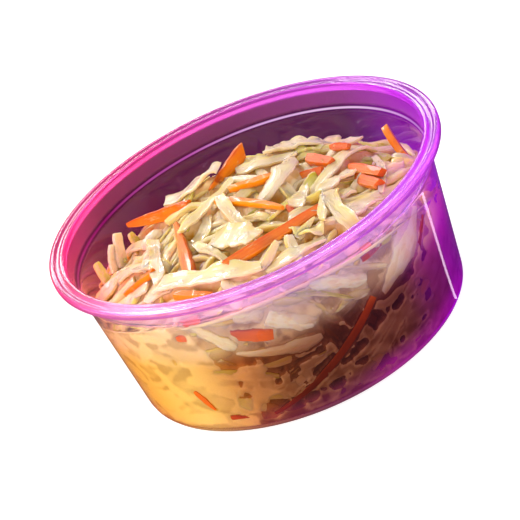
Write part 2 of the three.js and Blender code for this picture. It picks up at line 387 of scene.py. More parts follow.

    # Painted highlight: a band of glow on the inner edge of the step, all round.
    across = maths(group, "MULTIPLY", x, x)
    from_axis = maths(group, "SQRT", maths(group, "MULTIPLY_ADD", y, y, across))
    inside = between(group, from_axis, 0.0535, 0.0531)
    over_step = between(group, height, 0.0399, 0.0401)
    under_neck = between(group, height, 0.0407, 0.0404)
    at_step = maths(group, "MULTIPLY", inside, maths(group, "MULTIPLY", over_step, under_neck))
    group.links.new(mixed(group, at_step, glow, painted_step_highlight), made["Wall Glow"])
    group.links.new(rim_glow, made["Rim Glow"])

    body = mixed(group, between(group, height, 0.023, 0.031), low, middle)
    wall = mixed(group, between(group, height, 0.0385, 0.041), body, neck)
    group.links.new(wall, made["Wall Tint"])
    group.links.new(rim, made["Rim Tint"])
    return group


def tinted_plastic(name, tint_name, glow_name, clearness, roughness, shading=0.5):
    """Clear plastic with the tub's tint, which its edges gather, and a painted glow. Lamps shine through in
    that tint.
    """
    material, tree, shader = new_material(name)
    tint = placed(tree, tub_tint_and_painted_light)
    tree.links.new(tree.nodes.new("ShaderNodeTexCoord").outputs["Object"], tint.inputs["Place"])
    colour = tint.outputs[tint_name]

    tree.links.new(colour, shader.inputs["Base Color"])
    # painted glow: the plastic gives off light of its own
    tree.links.new(tint.outputs[glow_name], shader.inputs["Emission Color"])
    shader.inputs["Emission Strength"].default_value = 1.0
    shader.inputs["Roughness"].default_value = roughness
    shader.inputs["Transmission Weight"].default_value = clearness
    shader.inputs["IOR"].default_value = 1.46

    one_face = tree.nodes.new("ShaderNodeGamma")
    one_face.inputs["Gamma"].default_value = shading  # a lamp's light passes two faces of a wall
    tree.links.new(colour, one_face.inputs["Color"])
    shade = tree.nodes.new("ShaderNodeBsdfTransparent")
    tree.links.new(one_face.outputs[0], shade.inputs["Color"])
    swap = tree.nodes.new("ShaderNodeMixShader")
    tree.links.new(tree.nodes.new("ShaderNodeLightPath").outputs["Is Shadow Ray"], swap.inputs[0])
    tree.links.new(shader.outputs[0], swap.inputs[1])
    tree.links.new(shade.outputs[0], swap.inputs[2])
    tree.links.new(swap.outputs[0], tree.nodes["Material Output"].inputs["Surface"])
    return material


tub_tint_and_painted_light = tint_and_painted_light_group()
for material in (
    tinted_plastic("clear_wall", "Wall Tint", "Wall Glow", clearness=0.97, roughness=0.03),
    tinted_plastic("milky_rim", "Rim Tint", "Rim Glow", clearness=0.88, roughness=0.09, shading=0.25),
    tinted_plastic("milky_foot", "Wall Tint", "Wall Glow", clearness=0.75, roughness=0.08),
    tinted_plastic("milky_neck", "Wall Tint", "Wall Glow", clearness=0.80, roughness=0.25, shading=0.3),
):
    tub.data.materials.append(material)


def finish_at(z):
    """Which of those four finishes a face of the tub has, at height z."""
    if z > rim_from:
        return 1
    if z > neck_from:
        return 3
    return 2 if z < foot_to else 0


for face in tub.data.polygons:
    face.material_index = finish_at(face.center.z / MM)
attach(tub, "root")
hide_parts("tub")

# ---------------------------------------------------------------- slaw against the wall
# Cut cabbage and carrot that lie against the plastic, pressed flat low down and looser above.
# They are laid on the unrolled wall one by one, working inwards, and coated with dressing.
wall_radius = 51.0
around_wall = 2 * np.pi * wall_radius
sunk = 0.2  # how far a pressed face reaches into the plastic
pressed_within = 0.5  # a face this near the plastic counts as pressed against it
slaw_behind = 3.8  # how deep the separate pieces go behind the wall
wall_strays = 400  # random pieces that are tried on the wall
low_shade_top = 27  # below this height the slaw is painted darker: painted shade
light_from = 18  # above this height the painted shade behind the wall is kept lighter
clings_at = -152  # compass degrees where the dressing clings to the wall all the way up

# Height at which the heap meets the wall, at the front, at the sides and at the back.
contact_front = 42.5
contact_side = 31.0
contact_back = 26.0


def contact_height(angle):
    """Height at which the heap meets the wall, at a compass angle."""
    s = np.sin(angle)
    bow = (contact_back + contact_front) / 2 - contact_side
    return contact_side + (contact_back - contact_front) / 2 * s + bow * s * s


class Bed:
    """A field of heights that pieces are laid on, one after another.

    Slaw settles piece by piece: a limp shred drapes over what lies under it, and a carrot
    stick bridges between the two highest spots. The bed keeps the height of what lies there.
    """

    cell = 0.4
    nothing = 9.0

    def __init__(self, low, high, round_x=False):
        self.low = np.array(low, float)
        self.size = np.ceil((np.array(high) - low) / self.cell).astype(int)
        self.height = np.zeros(self.size)
        self.first = np.full(self.size, self.nothing)  # the lowest face that was laid on each cell
        self.round_x = round_x

    def cells(self, x, y):
        """The indices of the cells at (x, y)."""
        i = np.floor((x - self.low[0]) / self.cell).astype(int)
        j = np.floor((y - self.low[1]) / self.cell).astype(int)
        i = i % self.size[0] if self.round_x else np.clip(i, 0, self.size[0] - 1)
        return i, np.clip(j, 0, self.size[1] - 1)

    def at(self, x, y):
        """The height of what lies at (x, y)."""
        return self.height[self.cells(x, y)]

    def grid(self):
        """The middles of all cells."""
        x = self.low[0] + (np.arange(self.size[0]) + 0.5) * self.cell
        y = self.low[1] + (np.arange(self.size[1]) + 0.5) * self.cell
        return np.meshgrid(x, y, indexing="ij")

    def cover(self, x, y, top, bottom):
        """Raises the cells under a piece to its top."""
        where = self.cells(x.ravel(), y.ravel())
        np.maximum.at(self.height, where, top.ravel())
        np.minimum.at(self.first, where, bottom.ravel())


def taut_over(s, z):
    """The corners of a line drawn taut over points (s, z)."""
    corners = []
    for i in range(len(s)):
        while len(corners) > 1:
            a, b = corners[-2], corners[-1]
            if (z[b] - z[a]) * (s[i] - s[a]) <= (z[i] - z[a]) * (s[b] - s[a]):
                corners.pop()
            else:
                break
        corners.append(i)
    return corners


def draped(s, support, limp):
    """A limp strip's line: it hangs between what holds it up, and bends no more than it can."""
    lowered = support - limp * s * s / 2
    corners = taut_over(s, lowered)
    line = np.interp(s, s[corners], lowered[corners]) + limp * s * s / 2
    for _ in range(3):
        line[1:-1] = (line[:-2] + 2 * line[1:-1] + line[2:]) / 4
    return line


def bridged(s, support):
    """A stiff stick's line: it rests on the two contacts either side of its middle."""
    corners = taut_over(s, support)
    k = min(max(1, int(np.searchsorted(s[corners], 0))), len(corners) - 1)
    a, b = corners[k - 1], corners[k]
    slope = np.clip((support[b] - support[a]) / (s[b] - s[a]), -0.5, 0.5)
    return support[a] + slope * (s - s[a])


class Batch:
    """Shreds of one kind, gathered into one mesh, with a tone that changes along each shred."""

    def __init__(self):
        self.points, self.faces, self.uv, self.tones = [], [], [], []
        self.count = 0

    def add_strip(self, points, section, tones):
        """A closed strip from its points, (steps, around, 3), and a tone for each step."""
        steps, around = points.shape[:2]
        rows = self.count + np.arange(steps)[:, None] * around
        one = np.arange(around)
        two = (one + 1) % around
        quads = np.stack([rows[:-1] + one, rows[:-1] + two, rows[1:] + two, rows[1:] + one], -1)
        self.faces += quads.reshape(-1, 4).tolist()
        self.faces.append((self.count + one[::-1]).tolist())
        self.faces.append((rows[-1] + one).tolist())
        self.points.append(points.reshape(-1, 3))
        u = np.broadcast_to((section[:, 0] + 1) / 2 + section[:, 1] * 0.05, (steps, around))
        v = np.broadcast_to(np.linspace(0, 1, steps)[:, None] + tones[0] * 7, (steps, around))
        self.uv.append(np.stack([u, v], -1).reshape(-1, 2))
        self.tones.append(np.repeat(tones, around))
        self.count += steps * around

    def piece(self, name, place, hollow, crisp=60):
        """The mesh object: place turns laid points into the tub's, hollow gives each point's painted shade.
        """
        laid = np.vstack(self.points)
        made = add_piece(name, place(laid), self.faces)
        mesh = made.data
        corners = np.empty(len(mesh.loops), int)
        mesh.loops.foreach_get("vertex_index", corners)
        layer = mesh.uv_layers.new(name="along")
        layer.data.foreach_set("uv", np.vstack(self.uv)[corners].astype(np.float32).ravel())
        # Each point's hollow is painted shade, which its material darkens by.
        for label, values in (("tone", np.concatenate(self.tones)), ("hollow", hollow(laid))):
            mesh.attributes.new(label, "FLOAT", "POINT").data.foreach_set("value", values.astype(np.float32))
        mesh.set_sharp_from_angle(angle=radians(crisp))
        return made


# Cross-sections of a strip, as loops of (across, through) from -1 to 1.
shred_section = np.array((
    (-1, 0.4), (-1, -0.4), (-0.94, -0.95), (-0.4, -1.05), (0.4, -1.05), (0.94, -0.95),
    (1, -0.4), (1, 0.4), (0.94, 0.95), (0.4, 1.05), (-0.4, 1.05), (-0.94, 0.95),
))
stick_section = np.array((
    (-1, 0.6), (-1, -0.6), (-0.85, -1), (0, -1.06), (0.85, -1),
    (1, -0.6), (1, 0.6), (0.85, 1), (0, 1.06), (-0.85, 1),
))


def cut_ends(rng, tapered=0.15):
    """How much of its width a shred keeps at each end: most are cut across, a few are tapered."""
    return tuple(
        rng.uniform(0.12, 0.3) if rng.random() < tapered else rng.uniform(0.6, 0.95) for _ in range(2)
    )


def narrowed(half, t, ends):
    """A strip's half width, cut down to the given share at each end: blunt, or run out to a point."""
    for end, share in zip((-1, 1), ends):
        power = 2.2 if share < 0.35 else 8
        half = half * (1 - (1 - share) * ((1 + end * t) / 2) ** power)
    return half


def level_line(x, y, heading, length, curl=0.0, sway=0.0, steps=26, kink=0.0, kink_at=0.0):
    """A level line through (x, y) that curls, sways and kinks: its points and its distances along."""
    s = np.linspace(-0.5, 0.5, steps) * length
    direction = heading + curl * s + sway * np.sin(2 * np.pi * s / length + x)
    direction = direction + kink * np.tanh((s - kink_at * length) / 1.6)
    middle_of = (direction[1:] + direction[:-1]) / 2
    dx = np.concatenate([[0], np.cumsum(np.cos(middle_of) * np.diff(s))])
    dy = np.concatenate([[0], np.cumsum(np.sin(middle_of) * np.diff(s))])
    middle = steps // 2
    return x + dx - dx[middle], y + dy - dy[middle], s


def from_to(x0, y0, x1, y1, curl=0.0, steps=26):
    """A level line between two points."""
    length = float(np.hypot(x1 - x0, y1 - y0))
    heading = float(np.arctan2(y1 - y0, x1 - x0))
    return level_line((x0 + x1) / 2, (y0 + y1) / 2, heading, length, curl, 0.0, steps)


def lay(bed, batch, line, width, thick, section, *, stiff=False, limp=0.03, cup=0.0, lean=0.0,
        twist=0.0, lifts=(0, 0), ends=(0.6, 0.6), slant=0.0, ruffle=0.0, tone=0.5, fade=0.0,
        phase=0.0, crown=99.0):
    """Lays one strip on the bed along a level line, adds its mesh and raises the bed."""
    x, y, s = line
    t = np.linspace(-1, 1, len(s))

    # How broad and how thick it is along its length.
    uneven = 0.04 if stiff else 0.10
    half = width / 2 * (1 + uneven * (1.3 * np.sin(3.5 * t + phase) + 0.7 * np.sin(9 * t + phase * 2)))
    half = narrowed(half, t, ends)
    deep = thick * (1 - 0.25 * np.abs(t) ** 8) * np.ones_like(t)

    # What lies under it, at five places across.
    gx, gy = np.gradient(x), np.gradient(y)
    norm = np.hypot(gx, gy)
    lx, ly = -gy / norm, gx / norm
    u = np.array((-1, -0.5, 0, 0.5, 1)) * np.cos(min(abs(lean), 1.3))
    under = bed.at(
        x[:, None] + lx[:, None] * half[:, None] * u,
        y[:, None] + ly[:, None] * half[:, None] * u,
    )
    left, right = under[:, :2].max(1), under[:, 3:].max(1)
    support = np.maximum(under[:, 2], (left + right) / 2)

    # How it tips over sideways, and how high it comes to lie.
    kernel = np.ones(7) / 7
    tip = np.clip(np.arctan2(right - left, width * 0.9), -0.55, 0.55)
    tip = np.convolve(np.pad(tip, 3, "edge"), kernel, "valid") * (0.35 if stiff else 0.75)
    turn = tip + lean + twist * t / 2
    rise = np.abs(np.sin(lean + twist * t / 2)) * half * 0.85
    z = (bridged(s, support) if stiff else draped(s, support, limp)) + rise + thick * 0.45
    z = z + lifts[0] * np.clip(-t - 0.1, 0, 1) ** 1.6 + lifts[1] * np.clip(t - 0.1, 0, 1) ** 1.6
    over = z - (crown - rise)
    z = z - (np.maximum(0, over.mean()) if stiff else np.maximum(0, over))

    # The frame that runs along it: tangent, side and face.
    path = np.stack([x, y, z], 1)
    tangent = np.gradient(path, axis=0)
    tangent /= np.linalg.norm(tangent, axis=1)[:, None]
    flat = np.stack([lx, ly, np.zeros_like(lx)], 1)
    up = np.cross(tangent, flat)
    side = flat * np.cos(turn)[:, None] + up * np.sin(turn)[:, None]
    face = np.cross(tangent, side)

    # Its section at each step, cupped and ruffled, with nicked edges and slanting cuts.
    waves = ruffle * np.sin(7 * t + phase * 3)
    across, through = section[:, 0], section[:, 1]
    bowed = through[None] * deep[:, None] / 2 + (cup + waves)[:, None] * (across[None] ** 2 - 0.4)
    bowed = bowed + (ruffle * 0.8 * np.sin(13 * t + phase))[:, None] * across[None] ** 3
    cut = slant * t ** 5
    nicks = 0.02 if stiff else 0.035
    left_edge = 1 + nicks * (np.sin(14 * t + phase * 5) + np.sin(33 * t + phase * 9))
    right_edge = 1 + nicks * (np.sin(17 * t + phase * 7) + np.sin(29 * t + phase * 4))
    edges = np.where(across[None] < 0, left_edge[:, None], right_edge[:, None])
    points = (
        (path + face * waves[:, None] * 0.4)[:, None]
        + side[:, None] * (half[:, None] * across[None] * edges)[..., None]
        + face[:, None] * bowed[..., None]
        + tangent[:, None] * (half * cut)[:, None, None] * across[None, :, None]
    )
    batch.add_strip(points, section, tone + fade * t)

    # The cells that it covers.
    fine = np.linspace(0, len(s) - 1, int((s[-1] - s[0]) / bed.cell * 1.7) + 2)
    low = fine.astype(int).clip(0, len(s) - 2)
    part = (fine - low)[:, None]
    dense = path[low] * (1 - part) + path[low + 1] * part
    reach = side[low] * half[low][:, None]
    v = np.linspace(-1, 1, max(5, int(width / bed.cell * 1.7)))
    spread = dense[:, None] + reach[:, None] * v[None, :, None]
    bed.cover(spread[..., 0], spread[..., 1], spread[..., 2] + thick / 2, spread[..., 2] - thick / 2)


def over_a_hollow(bed, target, rng, draw, tries):
    """Of several random lines, the one over the deepest hollow below the target, or None if full."""
    lines = [draw(rng) for _ in range(tries)]
    scores = []
    for x, y, _ in lines:
        gap = target(x, y) - bed.at(x, y)
        scores.append(gap.mean() + 0.4 * gap.min())
    best = int(np.argmax(scores))
    return lines[best] if scores[best] > 0 else None


def to_wall(points):
    """From the unrolled wall (along, up, inwards) to the tub."""
    angle = points[:, 0] / wall_radius
    z = np.maximum(points[:, 1], floor_height + 0.1)
    r = inner_radius(z) + sunk - np.maximum(points[:, 2], 0.0)
    return np.stack([r * np.cos(angle), r * np.sin(angle), z], 1)


def compass_of(along):
    """Compass degrees, from -180 to 180, of a place along the unrolled wall."""
    return (np.degrees(along / wall_radius) + 180) % 360 - 180


def turn_from(middle, compass):
    """How many degrees round the tub a compass angle lies from the middle one, on either side."""
    return np.abs((compass + (180 - middle)) % 360 - 180)


def painted_low_shade(along, up):
    """Painted shade: the slaw is painted darker low down, darkest at the very bottom, but not near where the
    dressing clings.
    """
    clean = np.clip((turn_from(clings_at, compass_of(along)) - 28) / 28, 0, 1)
    return (np.clip((low_shade_top - up) / 12, 0, 0.7) + np.clip((13 - up) / 40, 0, 0.12)) * clean


def darkest(up):
    """How dark the painted shade behind the wall may get: less so above the painted low shade, where light
    would come in.
    """
    return 1 - 0.4 * np.clip((up - light_from) / 4, 0, 1)


def wall_painted_shade(points):
    """Painted shade for a point of the unrolled wall, from 0 to 1: darker the further it lies behind the
    plastic, and painted darker low down.
    """
    hollow = (points[:, 2] - 0.4) / 2.6 + painted_low_shade(points[:, 0], points[:, 1])
    return np.clip(hollow, 0, darkest(points[:, 1]))


def on_wall(angle_from, z_from, angle_to, z_to, curl=0.0, steps=24):
    """A line on the unrolled wall between two places given by compass angle and height."""
    along_from = radians(angle_from) * wall_radius
    along_to = radians(angle_to) * wall_radius
    return from_to(along_from, z_from, along_to, z_to, curl, steps)


wall_bed = Bed((0, 0), (around_wall, 46), round_x=True)
wall_white, wall_green, wall_carrots = Batch(), Batch(), Batch()

# A long carrot stick slants down the front, before all the rest. Its tone runs from pale at the top to deep
# at the bottom: painted shade, darker low on the wall.
lay(wall_bed, wall_carrots, on_wall(-67, 23.0, -110, 2.0, curl=-0.009), 2.9, 1.8, stick_section,
    stiff=True, tone=0.3, fade=-0.7, ends=(0.8, 0.3))
long_carrot = wall_bed.first < pressed_within

# The broad pieces and the sticks that show best through the plastic.
for line, width, tone, ends in (
    (on_wall(-99, 34.6, -86, 27.6, curl=0.02), 5.6, 1.0, (0.8, 0.5)),
    (on_wall(-84, 39.4, -67, 31.0, curl=0.01), 4.6, 0.9, (0.5, 0.5)),
    (on_wall(-76, 38.4, -59, 31.0, curl=-0.01), 3.4, 0.5, (0.5, 0.3)),
    (on_wall(-41, 37.8, -67, 18.0, curl=-0.02), 8.5, 1.0, (0.9, 0.5)),
    (on_wall(-112, 25.5, -86, 22.0, curl=0.02), 5.0, 0.8, (0.3, 0.5)),
    (on_wall(-122, 38.0, -111, 28.6), 4.4, 0.7, (0.6, 0.5)),
    (on_wall(-108, 38.0, -98, 36.0), 5.0, 0.7, (0.5, 0.5)),
):
    lay(wall_bed, wall_white, line, width, 1.3, shred_section, tone=tone, ends=ends, phase=width, cup=0.35,
        lean=0.16 * np.sin(width * 7), twist=0.4)
for line, width, tone, ends in (
    (on_wall(-111, 32.6, -99, 29.4), 4.0, 0.75, (0.8, 0.8)),
    (on_wall(-125, 39.2, -117, 40.8), 2.6, 0.9, (0.5, 0.7)),
    (on_wall(-125, 5.4, -117, 3.0), 3.0, 0.3, (0.5, 0.8)),
    (on_wall(-133, 15.5, -129, 8.5), 2.1, 1.2, (0.4, 0.3)),
    (on_wall(-38, 33.0, -50, 22.0), 2.6, 0.1, (0.3, 0.6)),
    (on_wall(-128, 35.0, -122, 34.2), 2.6, 1.2, (0.6, 0.6)),
):
    lay(wall_bed, wall_carrots, line, width, 1.8, stick_section, stiff=True, tone=tone, ends=ends)
on_show = wall_bed.first < pressed_within  # no dressing is smeared over these


def wall_target(x, y):
    """Depth of slaw wanted behind the wall: down to the floor, up to the heap's edge."""
    return np.where((y > 2.5) & (y < contact_height(x / wall_radius) + 0.5), slaw_behind, -9.0)


def stray_on_wall(rng):
    """A random line on the unrolled wall."""
    x = rng.uniform(0, around_wall)
    top = float(contact_height(x / wall_radius))
    return level_line(x, rng.uniform(3, top), rng.normal(0, 0.75), rng.uniform(10, 30),
                      rng.normal(0, 0.02), rng.normal(0, 0.12), 22)


wall_rng = np.random.default_rng(11)
for _ in range(wall_strays):
    line = over_a_hollow(wall_bed, wall_target, wall_rng, stray_on_wall, 10)
    if line is None:
        continue
    kind, tone, phase = wall_rng.random(), wall_rng.random(), wall_rng.uniform(0, 6)
    loose = float(np.clip((line[1].mean() - 22) / 8, 0.15, 1))  # only the lower ones are pressed flat
    if kind < 0.025:
        lay(wall_bed, wall_carrots, line, wall_rng.uniform(1.6, 2.6), 1.6, stick_section, stiff=True,
            tone=tone, ends=(0.7, wall_rng.uniform(0.2, 0.7)))
    else:
        lay(wall_bed, wall_white if kind < 0.72 else wall_green, line, wall_rng.uniform(1.5, 4.4),
            wall_rng.uniform(0.6, 1.1), shred_section, limp=0.06, tone=tone,
            fade=wall_rng.normal(0, 0.25), cup=loose * wall_rng.normal(0, 0.3),
            lean=loose * wall_rng.normal(0, 0.3), twist=loose * wall_rng.normal(0, 0.6),
            ends=cut_ends(wall_rng), slant=wall_rng.normal(0, 0.5), phase=phase)


def linear(red, green, blue):
    """Linear colour from the usual 0 to 255 values."""
    value = np.array((red, green, blue)) / 255
    return (*np.where(value <= 0.04045, value / 12.92, ((value + 0.055) / 1.055) ** 2.4), 1.0)


def flesh_group():
    """Cut vegetable under dressing: each shred's own colour, fibres along it, smears of dressing."""
    group, given, made = new_group(
        "dressed_flesh",
        (("Place", "Vector"), ("Along", "Vector"), ("Tone", "Float"), ("Hollow", "Float"), ("Deep", "Color"),
         ("Pale", "Color"), ("Dressing", "Color"), ("Shadow", "Color"), ("Smear", "Float")),
        (("Colour", "Color"), ("Wet", "Float"), ("Height", "Float")),
    )
    cloud = speckle(group, given["Place"], 230, 4)
    blots = speckle(group, given["Along"], 1, 3, squeeze=(2.2, 3.2, 1))
    fibres = speckle(group, given["Along"], 1, 3, 0.6, squeeze=(9, 1.2, 1))

    # How pale it is. One edge of a shred is the side of the leaf that was greener.
    share = maths(group, "ADD", given["Tone"], maths(group, "MULTIPLY_ADD", cloud, 1.1, -0.55))
    share = maths(group, "ADD", share, maths(group, "MULTIPLY_ADD", fibres, 0.7, -0.35))
    apart = group.nodes.new("ShaderNodeSeparateXYZ")
    group.links.new(given["Along"], apart.inputs[0])
    crosswise = apart.outputs["X"]
    share = maths(group, "SUBTRACT", share, between(group, crosswise, 0.7, 1.05, 0, 0.5))
    share = maths(group, "ADD", share, between(group, crosswise, 0.3, 0.0, 0, 0.4), clamp=True)
    flesh = mixed(group, share, given["Deep"], given["Pale"])

    # Where dressing is smeared over it, and the shade in the hollows.
    smeared = between(group, maths(group, "ADD", blots, given["Smear"]), 0.98, 1.12)
    coated = mixed(group, maths(group, "MULTIPLY", smeared, 0.8), flesh, given["Dressing"])
    shaded = mixed(group, given["Hollow"], coated, given["Shadow"], "MULTIPLY")
    group.links.new(shaded, made["Colour"])
    group.links.new(smeared, made["Wet"])

    # The relief: fibres, and lumps in the dressing.
    lumps = speckle(group, given["Place"], 1000, 1)
    coat = maths(group, "MULTIPLY", smeared, maths(group, "ADD", lumps, 0.3))
    height = maths(group, "MULTIPLY_ADD", fibres, 0.6, coat)
    group.links.new(maths(group, "MULTIPLY_ADD", cloud, 0.5, height), made["Height"])
    return group


dressed_flesh = flesh_group()


def dressed(name, *, deep, pale, dressing, shadow, smear, bump, see_in=0.8, coat=0.6):
    """Wet, cut vegetable in dressing. It is glossy, and light soaks a little way in."""
    material, tree, shader = new_material(name)
    coords = tree.nodes.new("ShaderNodeTexCoord").outputs
    flesh = placed(tree, dressed_flesh)
    tree.links.new(coords["Object"], flesh.inputs["Place"])
    tree.links.new(coords["UV"], flesh.inputs["Along"])
    for label, socket in (("tone", "Tone"), ("hollow", "Hollow")):
        reading = tree.nodes.new("ShaderNodeAttribute")
        reading.attribute_name = label
        tree.links.new(reading.outputs["Fac"], flesh.inputs[socket])
    flesh.inputs["Deep"].default_value = deep
    flesh.inputs["Pale"].default_value = pale
    flesh.inputs["Dressing"].default_value = dressing
    flesh.inputs["Shadow"].default_value = shadow
    flesh.inputs["Smear"].default_value = smear

    tree.links.new(flesh.outputs["Colour"], shader.inputs["Base Color"])
    tree.links.new(between(tree, flesh.outputs["Wet"], 0, 1, 0.42, 0.24), shader.inputs["Roughness"])
    relief = tree.nodes.new("ShaderNodeBump")
    relief.inputs["Strength"].default_value = bump
    relief.inputs["Distance"].default_value = 0.0005
    tree.links.new(flesh.outputs["Height"], relief.inputs["Height"])
    tree.links.new(relief.outputs[0], shader.inputs["Normal"])
    shader.inputs["Coat Weight"].default_value = coat
    shader.inputs["Specular IOR Level"].default_value = 0.3 + coat / 3
    shader.inputs["Coat Roughness"].default_value = 0.07
    shader.inputs["Subsurface Weight"].default_value = see_in
    shader.inputs["Subsurface Radius"].default_value = (1.0, 0.85, 0.38)
    shader.inputs["Subsurface Scale"].default_value = 0.0028
    return material


cream = linear(247, 214, 186)
# Painted shade colour for the pieces against the wall. Their materials are shaded copies of the vegetables':
# a darker painted shade, and for the carrot a darker flesh too.
wall_shade_brown = linear(170, 112, 66)
pressed_heart = dressed(
    "pressed_heart", deep=linear(232, 202, 132), pale=linear(250, 232, 212), dressing=cream,
    shadow=wall_shade_brown, smear=0.5, bump=0.3,
)
pressed_outer = dressed(
    "pressed_outer", deep=linear(204, 186, 88), pale=linear(236, 216, 156), dressing=cream,
    shadow=wall_shade_brown, smear=0.5, bump=0.3,
)
pressed_carrot = dressed(
    "pressed_carrot", deep=linear(170, 44, 14), pale=linear(234, 108, 34),
    dressing=linear(226, 140, 100), shadow=linear(90, 14, 8), smear=0.4, bump=0.3,
    see_in=0.2, coat=0.2,
)


def set_in_tub(piece, material):
    """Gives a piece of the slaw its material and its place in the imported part."""
    piece.data.materials.append(material)
    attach(piece, "root")
    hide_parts("coleslaw")


set_in_tub(wall_white.piece("wall_shreds_white", to_wall, wall_painted_shade), pressed_heart)
set_in_tub(wall_green.piece("wall_shreds_green", to_wall, wall_painted_shade), pressed_outer)
set_in_tub(wall_carrots.piece("wall_carrots", to_wall, wall_painted_shade, crisp=30), pressed_carrot)

# ---------------------------------------------------------------- heap
# The heap above: cut cabbage, white from the heart and green from the outer leaves, broad
# pieces of leaf and carrot sticks, tossed in dressing so that some ends stand up.
heap_crest = 47.0
heap_radius = 52.5
heap_power = 2.2
heap_depth = 6.0  # how far down the heap is made of separate pieces
crown = 50.4  # nothing lies higher
tossed_pieces = 760
edge_pieces = 220  # at most, along the wall at the front

# The share of the tossed pieces that are carrot, then leaf, then white; the rest is green.
carrot_share = 0.03
leaf_share = 0.17
white_share = 0.74


def heap_top(x, y):
    """Mean height of the finished heap."""
    r = np.hypot(x, y)
    contact = contact_height(np.arctan2(y, x))
    return contact + (heap_crest - contact) * (1 - np.minimum(1, r / heap_radius) ** heap_power)


heap_bed = Bed((-54, -54), (54, 54))
heap_grid = heap_bed.grid()
heap_bed.height = heap_top(*heap_grid) - heap_depth
white, green, leaves, carrots = Batch(), Batch(), Batch(), Batch()


def in_tub(points):
    """Keeps the heap's pieces inside the pot: what would pass the wall is pressed against it."""
    r = np.hypot(points[:, 0], points[:, 1])
    most = inner_radius(points[:, 2]) - 0.05
    scale = np.minimum(1, most / np.maximum(r, 1e-6))
    return np.stack([points[:, 0] * scale, points[:, 1] * scale, np.minimum(points[:, 2], crown + 0.9)], 1)


def stray_on_heap(rng, shortest=18, longest=44, curl=0.022, steps=30):
    """A random level line inside the pot."""
    r = (heap_radius - 3) * np.sqrt(rng.random())
    angle = rng.uniform(0, 2 * np.pi)
    x, y, s = level_line(r * np.cos(angle), r * np.sin(angle), rng.uniform(0, 2 * np.pi),
                         rng.uniform(shortest, longest), rng.normal(0, curl), rng.normal(0, 0.12), steps,
                         rng.normal(0, 12 * curl), rng.uniform(-0.3, 0.3))
    scale = np.minimum(1, (heap_radius - 1.5) / np.maximum(np.hypot(x, y), 1e-6))
    return x * scale, y * scale, s


def ceiling(line, above):
    """How high a piece on this line may lie: so far above the finished heap's mean height."""
    return np.minimum(crown, heap_top(line[0], line[1]) + above)


heap_rng = np.random.default_rng(5)


def toss_one(rng, target):
    """Lays one random piece where the heap is lowest."""
    kind, tone, phase = rng.random(), rng.random(), rng.uniform(0, 6)
    lifts = tuple(np.maximum(0, rng.normal(-0.8, 1.4, 2)))
    ends = cut_ends(rng)
    longest, curl = 44, 0.022
    if kind < carrot_share:
        longest, curl = 24, 0.005
    elif kind < leaf_share:
        longest, curl = 26, 0.02
    line = over_a_hollow(heap_bed, target, rng, lambda r: stray_on_heap(r, 0.4 * longest, longest, curl), 16)
    if line is None:
        return
    most = ceiling(line, 0.2 + rng.exponential(0.7))
    if kind < carrot_share:
        lay(heap_bed, carrots, line, rng.uniform(1.8, 2.8), rng.uniform(1.4, 2.0), stick_section,
            stiff=True, tone=tone, ends=(rng.uniform(0.6, 0.9), rng.uniform(0.15, 0.8)),
            slant=rng.normal(0, 0.5), crown=most)
    elif kind < leaf_share:
        lay(heap_bed, leaves, line, rng.uniform(4.5, 7.0), rng.uniform(0.7, 1.1), shred_section,
            limp=0.05, tone=tone, fade=rng.normal(0, 0.3), cup=rng.normal(0, 0.8),
            lean=rng.normal(0, 0.2), twist=rng.normal(0, 0.7), ruffle=0.3, lifts=lifts, ends=ends,
            slant=rng.normal(0, 0.4), phase=phase, crown=most)
    else:
        lean = rng.normal(0, 0.22) if rng.random() < 0.85 else rng.uniform(0.6, 1.1)
        width = rng.uniform(1.2, 2.1) if rng.random() < 0.5 else rng.uniform(2.1, 3.8)
        lay(heap_bed, white if kind < white_share else green, line, width, rng.uniform(0.8, 1.5),
            shred_section, limp=rng.uniform(0.015, 0.05), tone=tone, fade=rng.normal(0, 0.35),
            cup=rng.normal(0, 0.4), lean=lean, twist=rng.normal(0, 0.9), ruffle=0.08, lifts=lifts,
            ends=ends, slant=rng.normal(0, 0.7), phase=phase, crown=most)


def tossed_to(x, y):
    """The height that the tossed pieces are laid to, a little below the pieces on top."""
    return heap_top(x, y) - 3.0 + 2.0 * np.clip((np.hypot(x, y) - 43) / 7, 0, 1)


for _ in range(tossed_pieces):
    toss_one(heap_rng, tossed_to)


def stray_at_edge(rng):
    """A random line that runs along the wall at the front."""
    angle = rng.uniform(-170, -10)
    r = rng.uniform(42, 51.5)
    length = rng.uniform(7, 20)
    x, y, s = level_line(r * cos(radians(angle)), r * sin(radians(angle)),
                         radians(angle + 90) + rng.normal(0, 0.4), length, 0.02, rng.normal(0, 0.1))
    scale = np.minimum(1, (heap_radius - 0.8) / np.maximum(np.hypot(x, y), 1e-6))
    return x * scale, y * scale, s


for _ in range(edge_pieces):
    line = over_a_hollow(heap_bed, tossed_to, heap_rng, stray_at_edge, 8)
    if line is None:
        break
    lay(heap_bed, white if heap_rng.random() < 0.6 else green, line, heap_rng.uniform(1.5, 3.4),
        heap_rng.uniform(0.7, 1.1), shred_section, tone=heap_rng.random(),
        fade=heap_rng.normal(0, 0.3), cup=heap_rng.normal(0, 0.3), lean=heap_rng.normal(0, 0.3),
        ends=cut_ends(heap_rng), phase=heap_rng.uniform(0, 6), crown=ceiling(line, 0.6))

